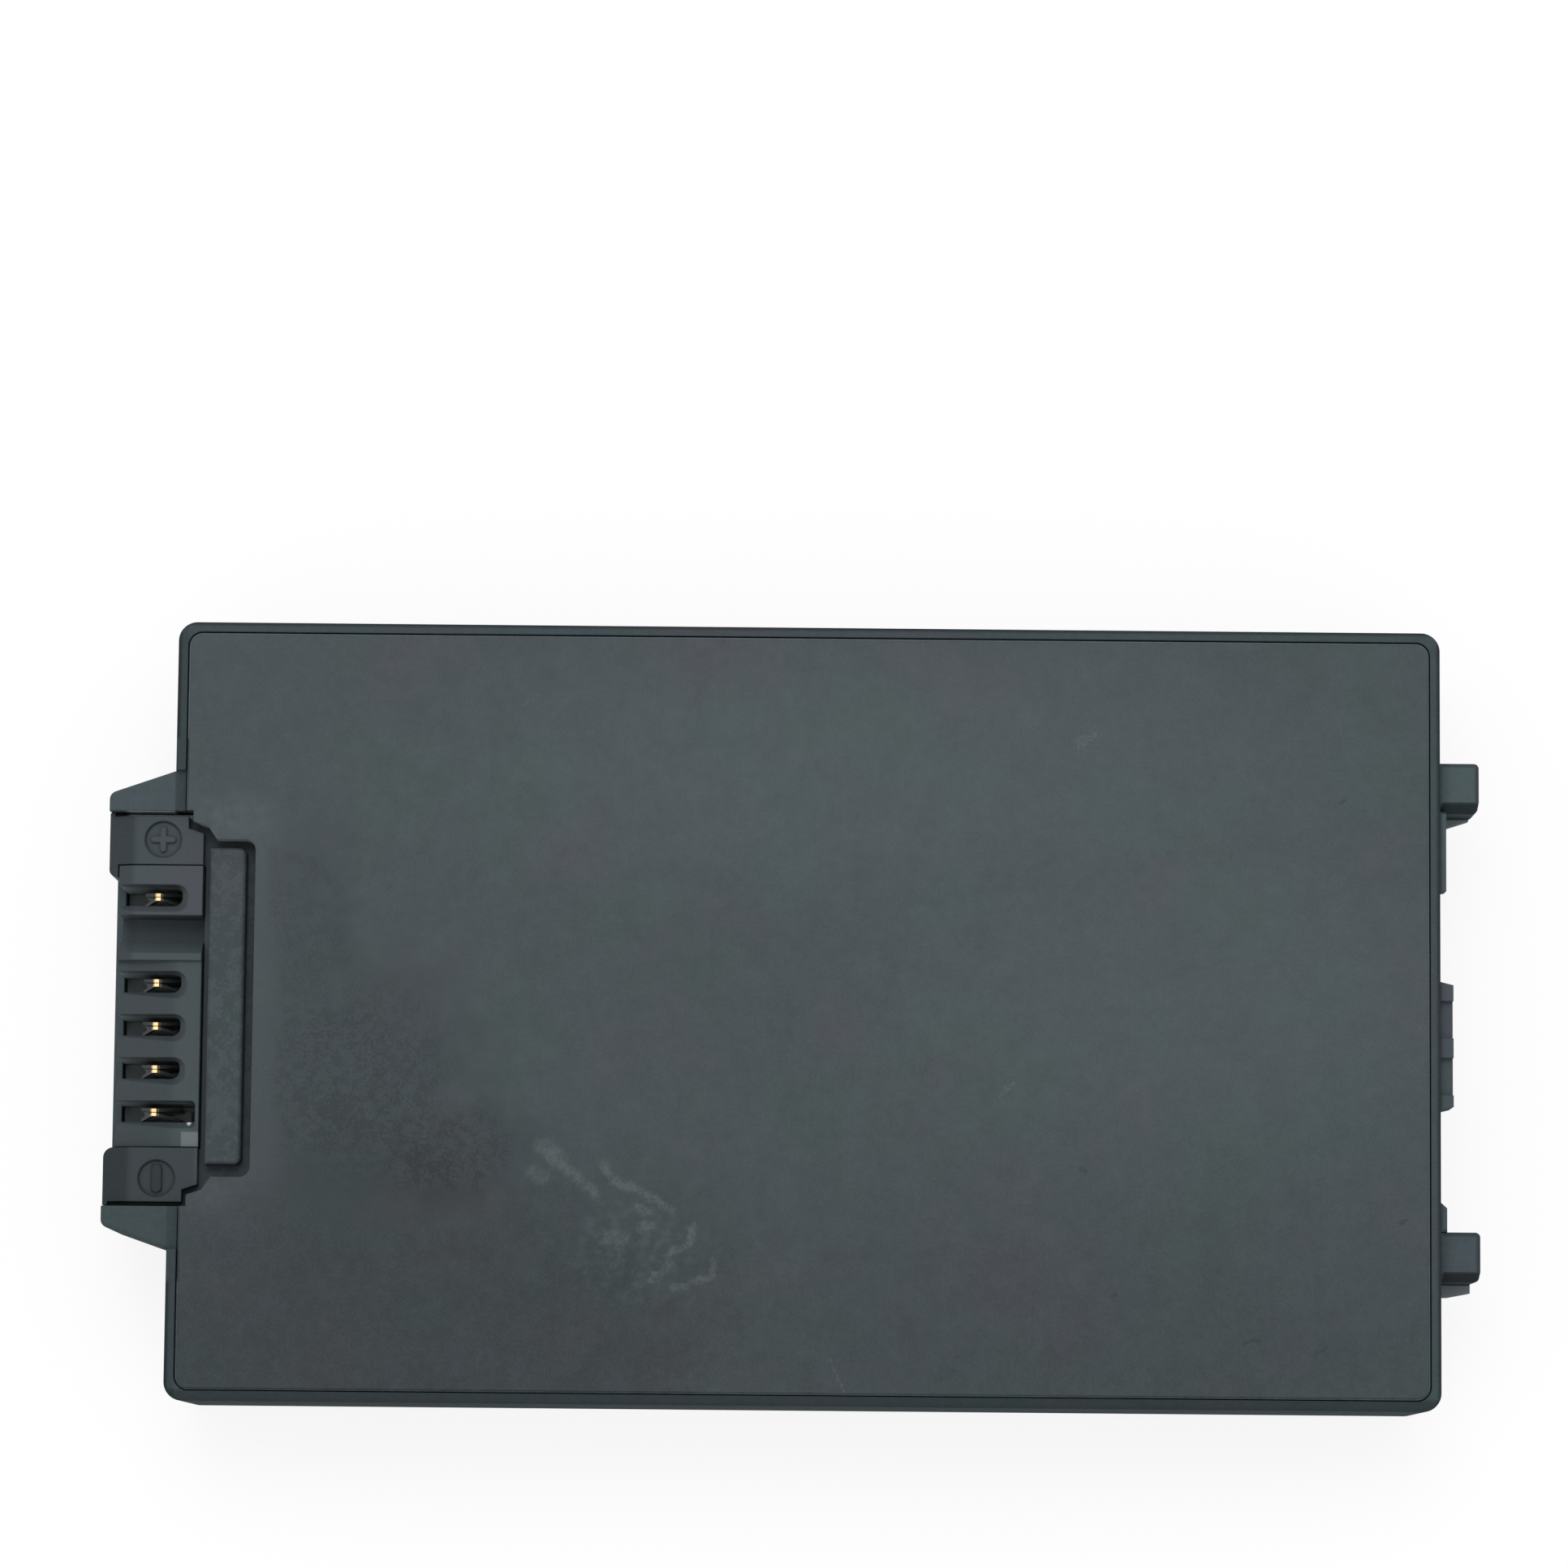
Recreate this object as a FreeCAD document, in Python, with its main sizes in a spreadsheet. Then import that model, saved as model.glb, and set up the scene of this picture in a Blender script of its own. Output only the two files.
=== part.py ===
import FreeCAD, Part
import math
import os
import Sketcher
from FreeCAD import Rotation, Vector

# Rechargeable battery pack of a handheld computer, in millimetres.
# Origin: centre of the flat underside. +X points to the lug end, -X to the contact end, +Z to the cover.

# Driving sizes
SIZES = {
    # Cells
    "cell_width": 33.8,
    "cell_length": 49.0,
    "cell_thickness": 10.0,
    "cell_corner": 2.5,
    "cell_gap": 0.4,
    "cell_end_gap": 0.3,
    "terminal_width": 8.0,
    "terminal_height": 2.6,
    "terminal_rise": 0.25,
    "weld_plate_width": 6.0,
    "weld_plate_drop": 0.8,
    "strap_gap": 0.5,
    "tape_thickness": 0.2,
    "tape_inset": 3.0,
    "foam_thickness": 0.6,
    "foam_inset": 4.0,
    # Case
    "wall": 1.5,
    "rim": 0.7,
    "floor_thickness": 1.0,
    "cover_thickness": 1.2,
    "cover_gap": 0.2,
    "groove_depth": 0.2,
    "case_corner": 1.3,
    "cover_corner": 0.8,
    "bay_corner": 0.8,
    "rim_edge": 0.35,
    "underside_edge": 1.0,
    "tab_room": 1.0,
    "board_bay": 15.4,
    "rib_thickness": 0.8,
    "rib_side_gap": 5.5,
    "rib_height": 6.0,
    "rib_gap": 0.1,
    "skirt_thickness": 0.8,
    "skirt_rise": 0.2,
    "skirt_gap": 0.1,
    "boss_root": 0.5,
    # Nose at the contact end
    "nose_length": 4.6,
    "nose_taper": 1.6,
    "flank_tip": 1.22,
    "nose_bottom": 3.0,
    "nose_floor": 5.0,
    "sill_rise": 2.0,
    "nose_corner": 0.6,
    "nose_edge": 0.3,
    "nose_bevel": 0.5,
    "flank_drop": 0.4,
    # Contact frame
    "contact_shift": 0.25,
    "pad_width": 3.37,
    "lower_pad_extra": 0.37,
    "frame_groove": 0.33,
    "frame_fit": 0.1,
    "front_lip": 0.35,
    "pad_drop": 0.8,
    "pad_slope_length": 1.7,
    "pad_slope_fall": 0.5,
    "pad_corner": 0.7,
    "toe_width": 0.85,
    "toe_corner": 0.5,
    "shoulder_depth": 0.9,
    "shoulder_step": 0.85,
    "pad_depth": 1.95,
    "pad_rear_step": 0.35,
    "mark_inset": 1.62,
    "mark_reach": 0.85,
    "mark_radius": 1.25,
    "mark_depth": 0.25,
    "bar_front": 2.45,
    "bar_width": 2.5,
    "bar_upper_gap": 0.5,
    "bar_lower_gap": 0.9,
    "bar_drop": 0.45,
    "bar_corner": 0.5,
    "bar_edge": 0.3,
    "ledge_gap": 0.7,
    "ledge_thickness": 1.0,
    "ledge_lap": 1.0,
    # Notch of the cover round the contact frame
    "notch_gap": 0.4,
    "notch_rear_gap": 0.7,
    "notch_step": 0.5,
    "notch_slope": 0.6,
    "notch_corner": 0.75,
    "hold_down_width": 0.6,
    # Connector housing
    "housing_margin": 2.25,
    "housing_setback": 0.7,
    "housing_depth": 1.95,
    "housing_drop": 0.8,
    "seam": 0.08,
    "housing_slope_length": 1.1,
    "housing_slope_fall": 0.35,
    "slot_width": 1.45,
    "slot_end": 0.5,
    "slot_corner": 0.6,
    "slot_rim_width": 0.46,
    "slot_rim_depth": 0.6,
    "long_slot_extra": 1.2,
    "long_slot_corner": 0.3,
    "mouth_round": 0.5,
    "contact_pitch": 3.0,
    "row_shift": 0.2,
    "key_step": 2.3,
    "key_width": 1.8,
    "key_depth": 3.0,
    "key_slope_width": 0.85,
    "key_slope_depth": 1.2,
    "group_margin": 1.45,
    "group_drop": 0.25,
    "group_slope_start": 0.1,
    "group_slope_fall": 0.5,
    # Pinch contacts
    "contact_side_gap": 0.22,
    "strip": 0.22,
    "pinch_gap": 0.06,
    "pinch_length": 0.3,
    "pinch_reach": 1.25,
    "leaf_front": 1.2,
    "leaf_rear": 1.6,
    "leaf_drop": 1.3,
    "leaf_fall": 2.4,
    "tail_width": 0.8,
    "tail_lap": 1.9,
    "tail_fit": 0.06,
    # Circuit board
    "board_start": 6.6,
    "board_gap": 0.7,
    "board_side_gap": 2.5,
    "board_thickness": 1.0,
    "board_corner": 0.8,
    "post_radius": 1.5,
    "post_inset": 1.9,
    "post_side_inset": 2.5,
    "pin_radius": 0.6,
    "pin_rise": 0.6,
    "pin_fit": 0.1,
    "chip_height": 1.1,
    "chip_gap": 1.5,
    "lead_width": 0.3,
    "lead_reach": 0.9,
    "lead_thickness": 0.2,
    "gauge_length": 6.5,
    "gauge_width": 4.4,
    "gauge_pitch": 0.65,
    "protector_length": 2.9,
    "protector_width": 1.6,
    "protector_pitch": 0.95,
    "switch_length": 3.0,
    "switch_width": 4.4,
    "switch_pitch": 0.65,
    "resistor_length": 3.2,
    "resistor_width": 6.3,
    "film_height": 0.6,
    "fuse_length": 1.6,
    "fuse_width": 3.2,
    "thermistor_length": 0.8,
    "thermistor_width": 1.6,
    # Nickel straps
    "strap_thickness": 0.15,
    "foot_width": 2.4,
    "foot_lap": 2.5,
    "foot_gap": 0.4,
    "neck_rise": 0.6,
    "window_gap": 0.2,
    "insulator_inset": 3.0,
    "insulator_margin": 0.3,
    "insulator_foot": 1.8,
    # Lug end
    "lug_length": 2.8,
    "lug_spacing": 32.6,
    "lug_width": 3.4,
    "lug_drop": 0.9,
    "lug_thickness": 4.2,
    "lug_bevel_width": 0.5,
    "lug_bevel_height": 1.0,
    "lug_shelf_height": 0.75,
    "lug_shelf_flat": 0.9,
    "upper_lug_shelf_width": 0.7,
    "upper_lug_shelf_taper": 0.5,
    "lower_lug_shelf_width": 0.95,
    "lower_lug_shelf_taper": 0.3,
    "lug_edge": 0.35,
    "ridge_drop": 1.0,
    "ridge_height": 1.5,
    "ridge_reach": 0.5,
    "upper_ridge_length": 5.65,
    "upper_ridge_slope": 0.1,
    "lower_ridge_length": 2.1,
    "lower_ridge_slope": 0.45,
    "latch_centre": -1.7,
    "latch_length": 8.95,
    "latch_reach": 1.0,
    "latch_slope": 0.25,
    "latch_drop": 1.2,
    "latch_height": 3.0,
    "latch_notch": 2.6,
    "latch_notch_depth": 0.5,
    "latch_notch_shift": -0.15,
    "latch_notch_pitch": 3.95,
}

# Which place in the contact row each contact takes, counted from the positive one
CONTACTS = {
    "contact_positive": 0,
    "contact_signal_a": 2,
    "contact_signal_b": 3,
    "contact_signal_c": 4,
    "contact_negative": 5,
}
LAST_CONTACT = max(CONTACTS.values())
LONG_SLOT = "contact_negative"
FIELD_EDGE = "contact_signal_a"

# Leads on each long side of a chip
LEAD_COUNTS = {"gauge": 8, "protector": 3, "switch": 4}

# Places worked out from the driving sizes
LAYOUT = {
    "case_length": "2 * Sizes.wall + Sizes.board_bay + Sizes.rib_thickness + Sizes.rib_gap"
                   " + 2 * Sizes.cell_width + Sizes.cell_gap + Sizes.cell_end_gap",
    "case_width": "2 * (Sizes.wall + Sizes.tab_room) + Sizes.cell_length",
    "cell_bottom": "Sizes.floor_thickness + Sizes.tape_thickness",
    "cell_top": "Layout.cell_bottom + Sizes.cell_thickness",
    "cover_seat": "Layout.cell_top + Sizes.foam_thickness",
    "case_top": "Layout.cover_seat + Sizes.cover_thickness",
    "end_face": "-Layout.case_length / 2",
    "lug_face": "Layout.case_length / 2",
    "side": "Layout.case_width / 2",
    "bay_start": "Layout.end_face + Sizes.wall",
    "bay_end": "Layout.lug_face - Sizes.wall",
    "bay_side": "Layout.side - Sizes.wall",
    "cell_b_centre": "Layout.bay_end - Sizes.cell_end_gap - Sizes.cell_width / 2",
    "cell_a_centre": "Layout.cell_b_centre - Sizes.cell_gap - Sizes.cell_width",
    "cells_centre": "(Layout.cell_a_centre + Layout.cell_b_centre) / 2",
    "cell_middle": "Layout.cell_bottom + Sizes.cell_thickness / 2",
    "strap_face": "Sizes.cell_length / 2 + Sizes.terminal_rise",
    "strap_back": "Layout.strap_face + Sizes.strap_thickness",
    "terminal_low": "Layout.cell_middle - Sizes.terminal_height / 2",
    "terminal_high": "Layout.cell_middle + Sizes.terminal_height / 2",
    "plate_high": "Layout.cell_top - Sizes.weld_plate_drop",
    "plate_low": "Layout.terminal_high + Sizes.strap_gap",
    "nose_tip": "Layout.end_face - Sizes.nose_length",
    "sill_top": "Sizes.nose_floor + Sizes.sill_rise",
    "flank_top": "Layout.case_top - Sizes.flank_drop",
    "pad_top": "Layout.case_top - Sizes.pad_drop",
    "bar_top": "Layout.case_top - Sizes.bar_drop",
    "ledge_top": "Layout.cover_seat - Sizes.ledge_gap",
    "ledge_bottom": "Layout.ledge_top - Sizes.ledge_thickness",
    "housing_top": "Layout.case_top - Sizes.housing_drop",
    "housing_front": "Layout.nose_tip + Sizes.housing_setback",
    "housing_rear": "Layout.end_face + Sizes.housing_depth",
    "pad_rear": "Layout.end_face + Sizes.pad_depth",
    "bar_start": "Layout.end_face + Sizes.bar_front",
    "bar_end": "Layout.bar_start + Sizes.bar_width",
    "notch_end": "Layout.bar_end + Sizes.notch_rear_gap",
    "ledge_end": "Layout.notch_end + Sizes.ledge_lap",
    "contact_span": f"{LAST_CONTACT} * Sizes.contact_pitch",
    "first_contact": "Layout.contact_span / 2 + Sizes.row_shift",
    "housing_half": "Layout.contact_span / 2 + Sizes.housing_margin",
    "opening_half": "Layout.housing_half + Sizes.seam",
    "frame_half": "Layout.opening_half + Sizes.pad_width",
    "pocket_half": "Layout.frame_half + Sizes.frame_groove",
    "shoulder_half": "Layout.frame_half - Sizes.shoulder_step",
    "pad_rear_half": "Layout.shoulder_half - Sizes.pad_rear_step",
    "notch_half": "Layout.pad_rear_half - Sizes.notch_step",
    "nose_tip_half": "Layout.pocket_half + Sizes.contact_shift + Sizes.flank_tip",
    "nose_root_half": "Layout.nose_tip_half + Sizes.nose_taper",
    "contact_half": "Sizes.slot_width / 2 - Sizes.contact_side_gap",
    "board_edge": "Layout.end_face + Sizes.board_start",
    "board_top": "Sizes.nose_floor + Sizes.board_thickness",
    "rib_start": "Layout.bay_start + Sizes.board_bay",
    "board_end": "Layout.rib_start - Sizes.board_gap",
    "board_half": "Layout.bay_side - Sizes.board_side_gap",
    "near_post": "Layout.board_edge + Sizes.post_inset",
    "far_post": "Layout.board_end - Sizes.post_inset",
    "post_line": "Layout.board_half - Sizes.post_side_inset",
    "chip_line": "(Layout.board_edge + Sizes.tail_lap + Layout.board_end) / 2",
    "protector_place": "-(Sizes.gauge_length + Sizes.protector_length) / 2 - Sizes.chip_gap",
    "fuse_place": "Layout.protector_place - (Sizes.protector_length + Sizes.fuse_length) / 2"
                  " - Sizes.chip_gap",
    "resistor_place": "Layout.fuse_place - (Sizes.fuse_length + Sizes.resistor_length) / 2"
                      " - Sizes.chip_gap",
    "switch_a_place": "(Sizes.gauge_length + Sizes.switch_length) / 2 + Sizes.chip_gap",
    "switch_b_place": "Layout.switch_a_place + Sizes.switch_length + Sizes.chip_gap",
    "thermistor_place": "Layout.switch_b_place + (Sizes.switch_length + Sizes.thermistor_length) / 2"
                        " + Sizes.chip_gap",
    "far_foot_end": "Layout.near_post + Sizes.pin_radius + Sizes.foot_gap + Sizes.foot_width",
    "near_foot_end": "Layout.far_foot_end + Sizes.foot_gap + Sizes.foot_width",
    "lug_top": "Layout.case_top - Sizes.lug_drop",
    "lug_bottom": "Layout.lug_top - Sizes.lug_thickness",
    "ridge_top": "Layout.case_top - Sizes.ridge_drop",
    "latch_top": "Layout.case_top - Sizes.latch_drop",
}

TOUCH = 0.001
UP = Vector(0, 0, 1)
HALF_TURN = 180

doc = FreeCAD.newDocument("battery_pack")


def fill_sheet(name, cells):
    """Make a spreadsheet with one named cell for each entry."""
    sheet = doc.addObject("Spreadsheet::Sheet", name)
    for row, (alias, content) in enumerate(cells.items(), start=1):
        sheet.set(f"A{row}", alias)
        sheet.set(f"B{row}", content)
        sheet.setAlias(f"B{row}", alias)
    doc.recompute()
    return sheet


sizes_sheet = fill_sheet("Sizes", {alias: str(value) for alias, value in SIZES.items()})
layout_sheet = fill_sheet("Layout", {alias: "=" + formula for alias, formula in LAYOUT.items()})


def number(expression):
    """Value of an expression on the two sheets."""
    return float(layout_sheet.evalExpression(expression))


def new_body(label):
    """Start a sub-part."""
    body = doc.addObject("PartDesign::Body", label)
    body.Label = label
    return body


def place(body, x, y, z, turn=0):
    """Put a sub-part that was drawn round its own origin where it belongs."""
    body.Placement.Rotation = Rotation(UP, turn)
    for axis, expression in zip("xyz", (x, y, z)):
        body.setExpression(f"Placement.Base.{axis}", expression)


def new_sketch(body, name, plane, offset):
    """Start a sketch on one of the body's own origin planes, moved along its normal."""
    sketch = body.newObject("Sketcher::SketchObject", name)
    support = next(item for item in body.Origin.OriginFeatures if item.Role == plane)
    sketch.AttachmentSupport = [(support, "")]
    sketch.MapMode = "FlatFace"
    sketch.setExpression("AttachmentOffset.Base.z", offset)
    return sketch


def bind(sketch, kind, geometry, point, expression):
    """Tie one coordinate of a sketch point to an expression."""
    rule = Sketcher.Constraint(kind, -1, 1, geometry, point, number(expression))
    index = sketch.addConstraint(rule)
    sketch.setExpression(f"Constraints[{index}]", expression)


def draw_polygon(sketch, corners):
    """Draw a closed outline whose corners are pairs of expressions."""
    points = [Vector(number(x), number(y), 0) for x, y in corners]
    count = len(corners)
    lines = []
    for index in range(count):
        segment = Part.LineSegment(points[index], points[(index + 1) % count])
        lines.append(sketch.addGeometry(segment, False))
    for index in range(count):
        following = lines[(index + 1) % count]
        sketch.addConstraint(Sketcher.Constraint("Coincident", lines[index], 2, following, 1))
    for line, (x, y) in zip(lines, corners):
        bind(sketch, "DistanceX", line, 1, x)
        bind(sketch, "DistanceY", line, 1, y)


def draw_rounded_rectangle(sketch, x, y, radius):
    """Draw a rectangle from two pairs of bounds, with equal arcs at its corners."""
    left, right, bottom, top = [number(bound) for bound in (*x, *y)]
    curve = number(radius)
    quarter = math.pi / 2
    near = [Vector(left + curve, bottom, 0), Vector(right, bottom + curve, 0),
            Vector(right - curve, top, 0), Vector(left, top - curve, 0)]
    far = [Vector(right - curve, bottom, 0), Vector(right, top - curve, 0),
           Vector(left + curve, top, 0), Vector(left, bottom + curve, 0)]
    centres = [Vector(right - curve, bottom + curve, 0), Vector(right - curve, top - curve, 0),
               Vector(left + curve, top - curve, 0), Vector(left + curve, bottom + curve, 0)]
    lines = []
    arcs = []
    for order in range(4):
        lines.append(sketch.addGeometry(Part.LineSegment(near[order], far[order]), False))
        circle = Part.Circle(centres[order], UP, curve)
        start = (order - 1) * quarter
        arcs.append(sketch.addGeometry(Part.ArcOfCircle(circle, start, start + quarter), False))
    for order in range(4):
        sketch.addConstraint(Sketcher.Constraint("Tangent", lines[order], 2, arcs[order], 1))
        sketch.addConstraint(Sketcher.Constraint("Tangent", arcs[order], 2, lines[(order + 1) % 4], 1))
        sketch.addConstraint(Sketcher.Constraint("Vertical" if order % 2 else "Horizontal", lines[order]))
    for arc in arcs[1:]:
        sketch.addConstraint(Sketcher.Constraint("Equal", arcs[0], arc))
    index = sketch.addConstraint(Sketcher.Constraint("Radius", arcs[0], curve))
    sketch.setExpression(f"Constraints[{index}]", radius)
    bind(sketch, "DistanceY", lines[0], 1, y[0])
    bind(sketch, "DistanceX", lines[1], 1, x[1])
    bind(sketch, "DistanceY", lines[2], 1, y[1])
    bind(sketch, "DistanceX", lines[3], 1, x[0])


def draw_circle(sketch, x, y, radius):
    """Draw a circle whose centre and radius are expressions."""
    circle = Part.Circle(Vector(number(x), number(y), 0), UP, number(radius))
    ring = sketch.addGeometry(circle, False)
    bind(sketch, "DistanceX", ring, 3, x)
    bind(sketch, "DistanceY", ring, 3, y)
    index = sketch.addConstraint(Sketcher.Constraint("Radius", ring, number(radius)))
    sketch.setExpression(f"Constraints[{index}]", radius)


def settle(body, feature):
    """Work a new feature out and stop where it failed."""
    doc.recompute()
    if "Invalid" in feature.State or "Error" in feature.State:
        raise RuntimeError(f"{body.Label}.{feature.Name} failed: {feature.getStatusString()}")


def extrude(body, name, sketch, length, cut):
    """Pad a sketch along its normal, or cut that way, and see that a cut takes something away."""
    before = 0.0 if body.Tip is None else body.Shape.Volume
    feature = body.newObject("PartDesign::Pocket" if cut else "PartDesign::Pad", name)
    feature.Profile = sketch
    feature.Reversed = cut
    feature.setExpression("Length", length)
    settle(body, feature)
    change = body.Shape.Volume - before
    if (change >= 0) if cut else (change <= 0):
        raise RuntimeError(f"{body.Label}.{name} changes nothing")
    return feature


def prism(body, name, plane, span, corners, cut=False):
    """Pad or cut an outline between two places along the plane's normal."""
    low, high = span
    offset = f"-({high})" if plane == "XZ_Plane" else low
    sketch = new_sketch(body, f"{name}_outline", plane, offset)
    draw_polygon(sketch, corners)
    return extrude(body, name, sketch, f"({high}) - ({low})", cut)


def rectangle(x, y):
    """Corners of a rectangle from two pairs of bounds."""
    return [(x[0], y[0]), (x[1], y[0]), (x[1], y[1]), (x[0], y[1])]


def block(body, name, x, y, z, cut=False):
    """Pad or cut a straight block from three pairs of bounds."""
    return prism(body, name, "XY_Plane", z, rectangle(x, y), cut)


def rounded_block(body, name, x, y, z, corner, cut=False):
    """Pad or cut an upright block with rounded corners."""
    low, high = z
    sketch = new_sketch(body, f"{name}_outline", "XY_Plane", low)
    draw_rounded_rectangle(sketch, x, y, corner)
    return extrude(body, name, sketch, f"({high}) - ({low})", cut)


def cylinders(body, name, centres, radius, z, cut=False):
    """Pad or cut equal upright cylinders."""
    low, high = z
    sketch = new_sketch(body, f"{name}_outline", "XY_Plane", low)
    for x, y in centres:
        draw_circle(sketch, x, y, radius)
    return extrude(body, name, sketch, f"({high}) - ({low})", cut)


def about(expression):
    """Bounds that lie evenly about zero."""
    return f"-({expression})", f"{expression}"


def lies_at(edge, **planes):
    """True where an edge lies in every given plane, such as z=3."""
    box = edge.BoundBox
    bounds = {"x": (box.XMin, box.XMax), "y": (box.YMin, box.YMax), "z": (box.ZMin, box.ZMax)}
    return all(abs(end - at) < TOUCH for axis, at in planes.items() for end in bounds[axis])


def upright(edge):
    """True where an edge is a straight line along Z."""
    box = edge.BoundBox
    return box.XLength < TOUCH and box.YLength < TOUCH


def within(edge, x=None, y=None, z=None):
    """True where an edge stays inside the given bounds."""
    box = edge.BoundBox
    spans = ((x, box.XMin, box.XMax), (y, box.YMin, box.YMax), (z, box.ZMin, box.ZMax))
    return all(span is None or (low > span[0] - TOUCH and high < span[1] + TOUCH)
               for span, low, high in spans)


def dress(body, kind, name, size, wanted):
    """Round or bevel the edges that the test wants."""
    base = body.Tip
    names = [f"Edge{index}" for index, edge in enumerate(base.Shape.Edges, start=1) if wanted(edge)]
    if not names:
        raise RuntimeError(f"{body.Label}.{name} finds no edge")
    feature = body.newObject(f"PartDesign::{kind}", name)
    feature.Base = (base, names)
    feature.setExpression("Radius" if kind == "Fillet" else "Size", size)
    settle(body, feature)
    return feature


def soften(body, name, size, wanted):
    """Round edges."""
    return dress(body, "Fillet", name, size, wanted)


def contact_line(contact):
    """Expression for the middle of a contact's slot across the case."""
    return f"Sizes.contact_shift + Layout.first_contact - {CONTACTS[contact]} * Sizes.contact_pitch"


def across(expression, side=1):
    """Expression for a place measured across the case from the middle of the contact set."""
    return f"Sizes.contact_shift + {side} * ({expression})"


def both_sides(expression):
    """Bounds that lie evenly about the middle of the contact set."""
    return across(expression, -1), across(expression)


def frame_line(expression, side=1):
    """Expression for a place on the contact frame, whose lower side is the wider one."""
    return across(expression if side > 0 else f"{expression} + Sizes.lower_pad_extra", side)


def frame_sides(expression):
    """Bounds on both sides of the contact frame."""
    return frame_line(expression, -1), frame_line(expression)


def add_nose(body):
    """Tapered nose at the contact end, with its pocket for the contact frame."""
    tip = number("Layout.nose_tip")
    top = number("Layout.flank_top")
    prism(body, "nose", "XY_Plane", ("Sizes.nose_bottom", "Layout.flank_top"), [
        ("Layout.bay_start", "-Layout.nose_root_half"),
        ("Layout.bay_start", "Layout.nose_root_half"),
        ("Layout.end_face", "Layout.nose_root_half"),
        ("Layout.nose_tip", "Layout.nose_tip_half"),
        ("Layout.nose_tip", "-Layout.nose_tip_half"),
        ("Layout.end_face", "-Layout.nose_root_half"),
    ])
    soften(body, "nose_tip_corners", "Sizes.nose_corner",
           lambda edge: upright(edge) and lies_at(edge, x=tip))
    root = number("Layout.end_face")
    bottom = number("Sizes.nose_bottom")

    def outer_edge(edge, height):
        return lies_at(edge, z=height) and within(edge, x=(tip, root)) and not lies_at(edge, x=root)

    soften(body, "nose_top_edge", "Sizes.nose_edge", lambda edge: outer_edge(edge, top))
    dress(body, "Chamfer", "nose_bottom_edge", "Sizes.nose_bevel", lambda edge: outer_edge(edge, bottom))


def cut_nose(body):
    """Pocket of the contact frame, the lowered rim beside it and the sill in front of the housing."""
    beyond = "Layout.nose_tip - Sizes.boss_root"
    block(body, "frame_pocket", (beyond, "Layout.bay_start"), frame_sides("Layout.pocket_half"),
          ("Sizes.nose_floor", "Layout.case_top"), cut=True)
    block(body, "lowered_rim", ("Layout.end_face", "Layout.bay_start"), about("Layout.nose_root_half"),
          ("Layout.flank_top", "Layout.case_top"), cut=True)
    block(body, "sill", ("Layout.nose_tip", "Layout.housing_front - Sizes.seam"),
          both_sides("Layout.opening_half - Sizes.frame_fit"), ("Sizes.nose_floor", "Layout.sill_top"))


def add_lug(body, name, middle):
    """One lug: flat top, bevelled lower side and a tapered shelf at its foot."""
    span = ("Layout.lug_face - Sizes.boss_root", "Layout.lug_face + Sizes.lug_length")
    upper = f"{middle} + Sizes.lug_width / 2"
    lower = f"{middle} - Sizes.lug_width / 2"
    prism(body, name, "YZ_Plane", span, [
        (upper, "Layout.lug_bottom"),
        (upper, "Layout.lug_top"),
        (f"{lower} + Sizes.lug_bevel_width", "Layout.lug_top"),
        (lower, "Layout.lug_top - Sizes.lug_bevel_height"),
        (lower, "Layout.lug_bottom"),
    ])
    lug_end = number(span[1])
    lug_top = number("Layout.lug_top")
    upper_side = number(upper)
    soften(body, f"{name}_edges", "Sizes.lug_edge",
           lambda edge: lies_at(edge, x=lug_end) or lies_at(edge, y=upper_side, z=lug_top))
    shelf = f"{lower} - Sizes.{name}_shelf_width"
    shelf_end = f"{span[1]} - Sizes.lug_edge"
    shelf_span = ("Layout.lug_bottom", "Layout.lug_bottom + Sizes.lug_shelf_height")
    prism(body, f"{name}_shelf", "XY_Plane", shelf_span, [
        (span[0], lower),
        (span[0], shelf),
        ("Layout.lug_face + Sizes.lug_shelf_flat", shelf),
        (shelf_end, f"{shelf} + Sizes.{name}_shelf_taper"),
        (shelf_end, lower),
    ])


def add_ridge(body, name, start):
    """Low ridge on the lug end that runs from a lug towards the middle and ends in a slope."""
    heading = "-1" if number(start) > 0 else "1"
    foot = f"{start} + {heading} * Sizes.{name}_length"
    shoulder = f"{start} + {heading} * (Sizes.{name}_length - Sizes.{name}_slope)"
    prism(body, name, "XY_Plane", ("Layout.ridge_top - Sizes.ridge_height", "Layout.ridge_top"), [
        ("Layout.lug_face - Sizes.boss_root", start),
        ("Layout.lug_face + Sizes.ridge_reach", start),
        ("Layout.lug_face + Sizes.ridge_reach", shoulder),
        ("Layout.lug_face", foot),
        ("Layout.lug_face - Sizes.boss_root", foot),
    ])


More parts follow.
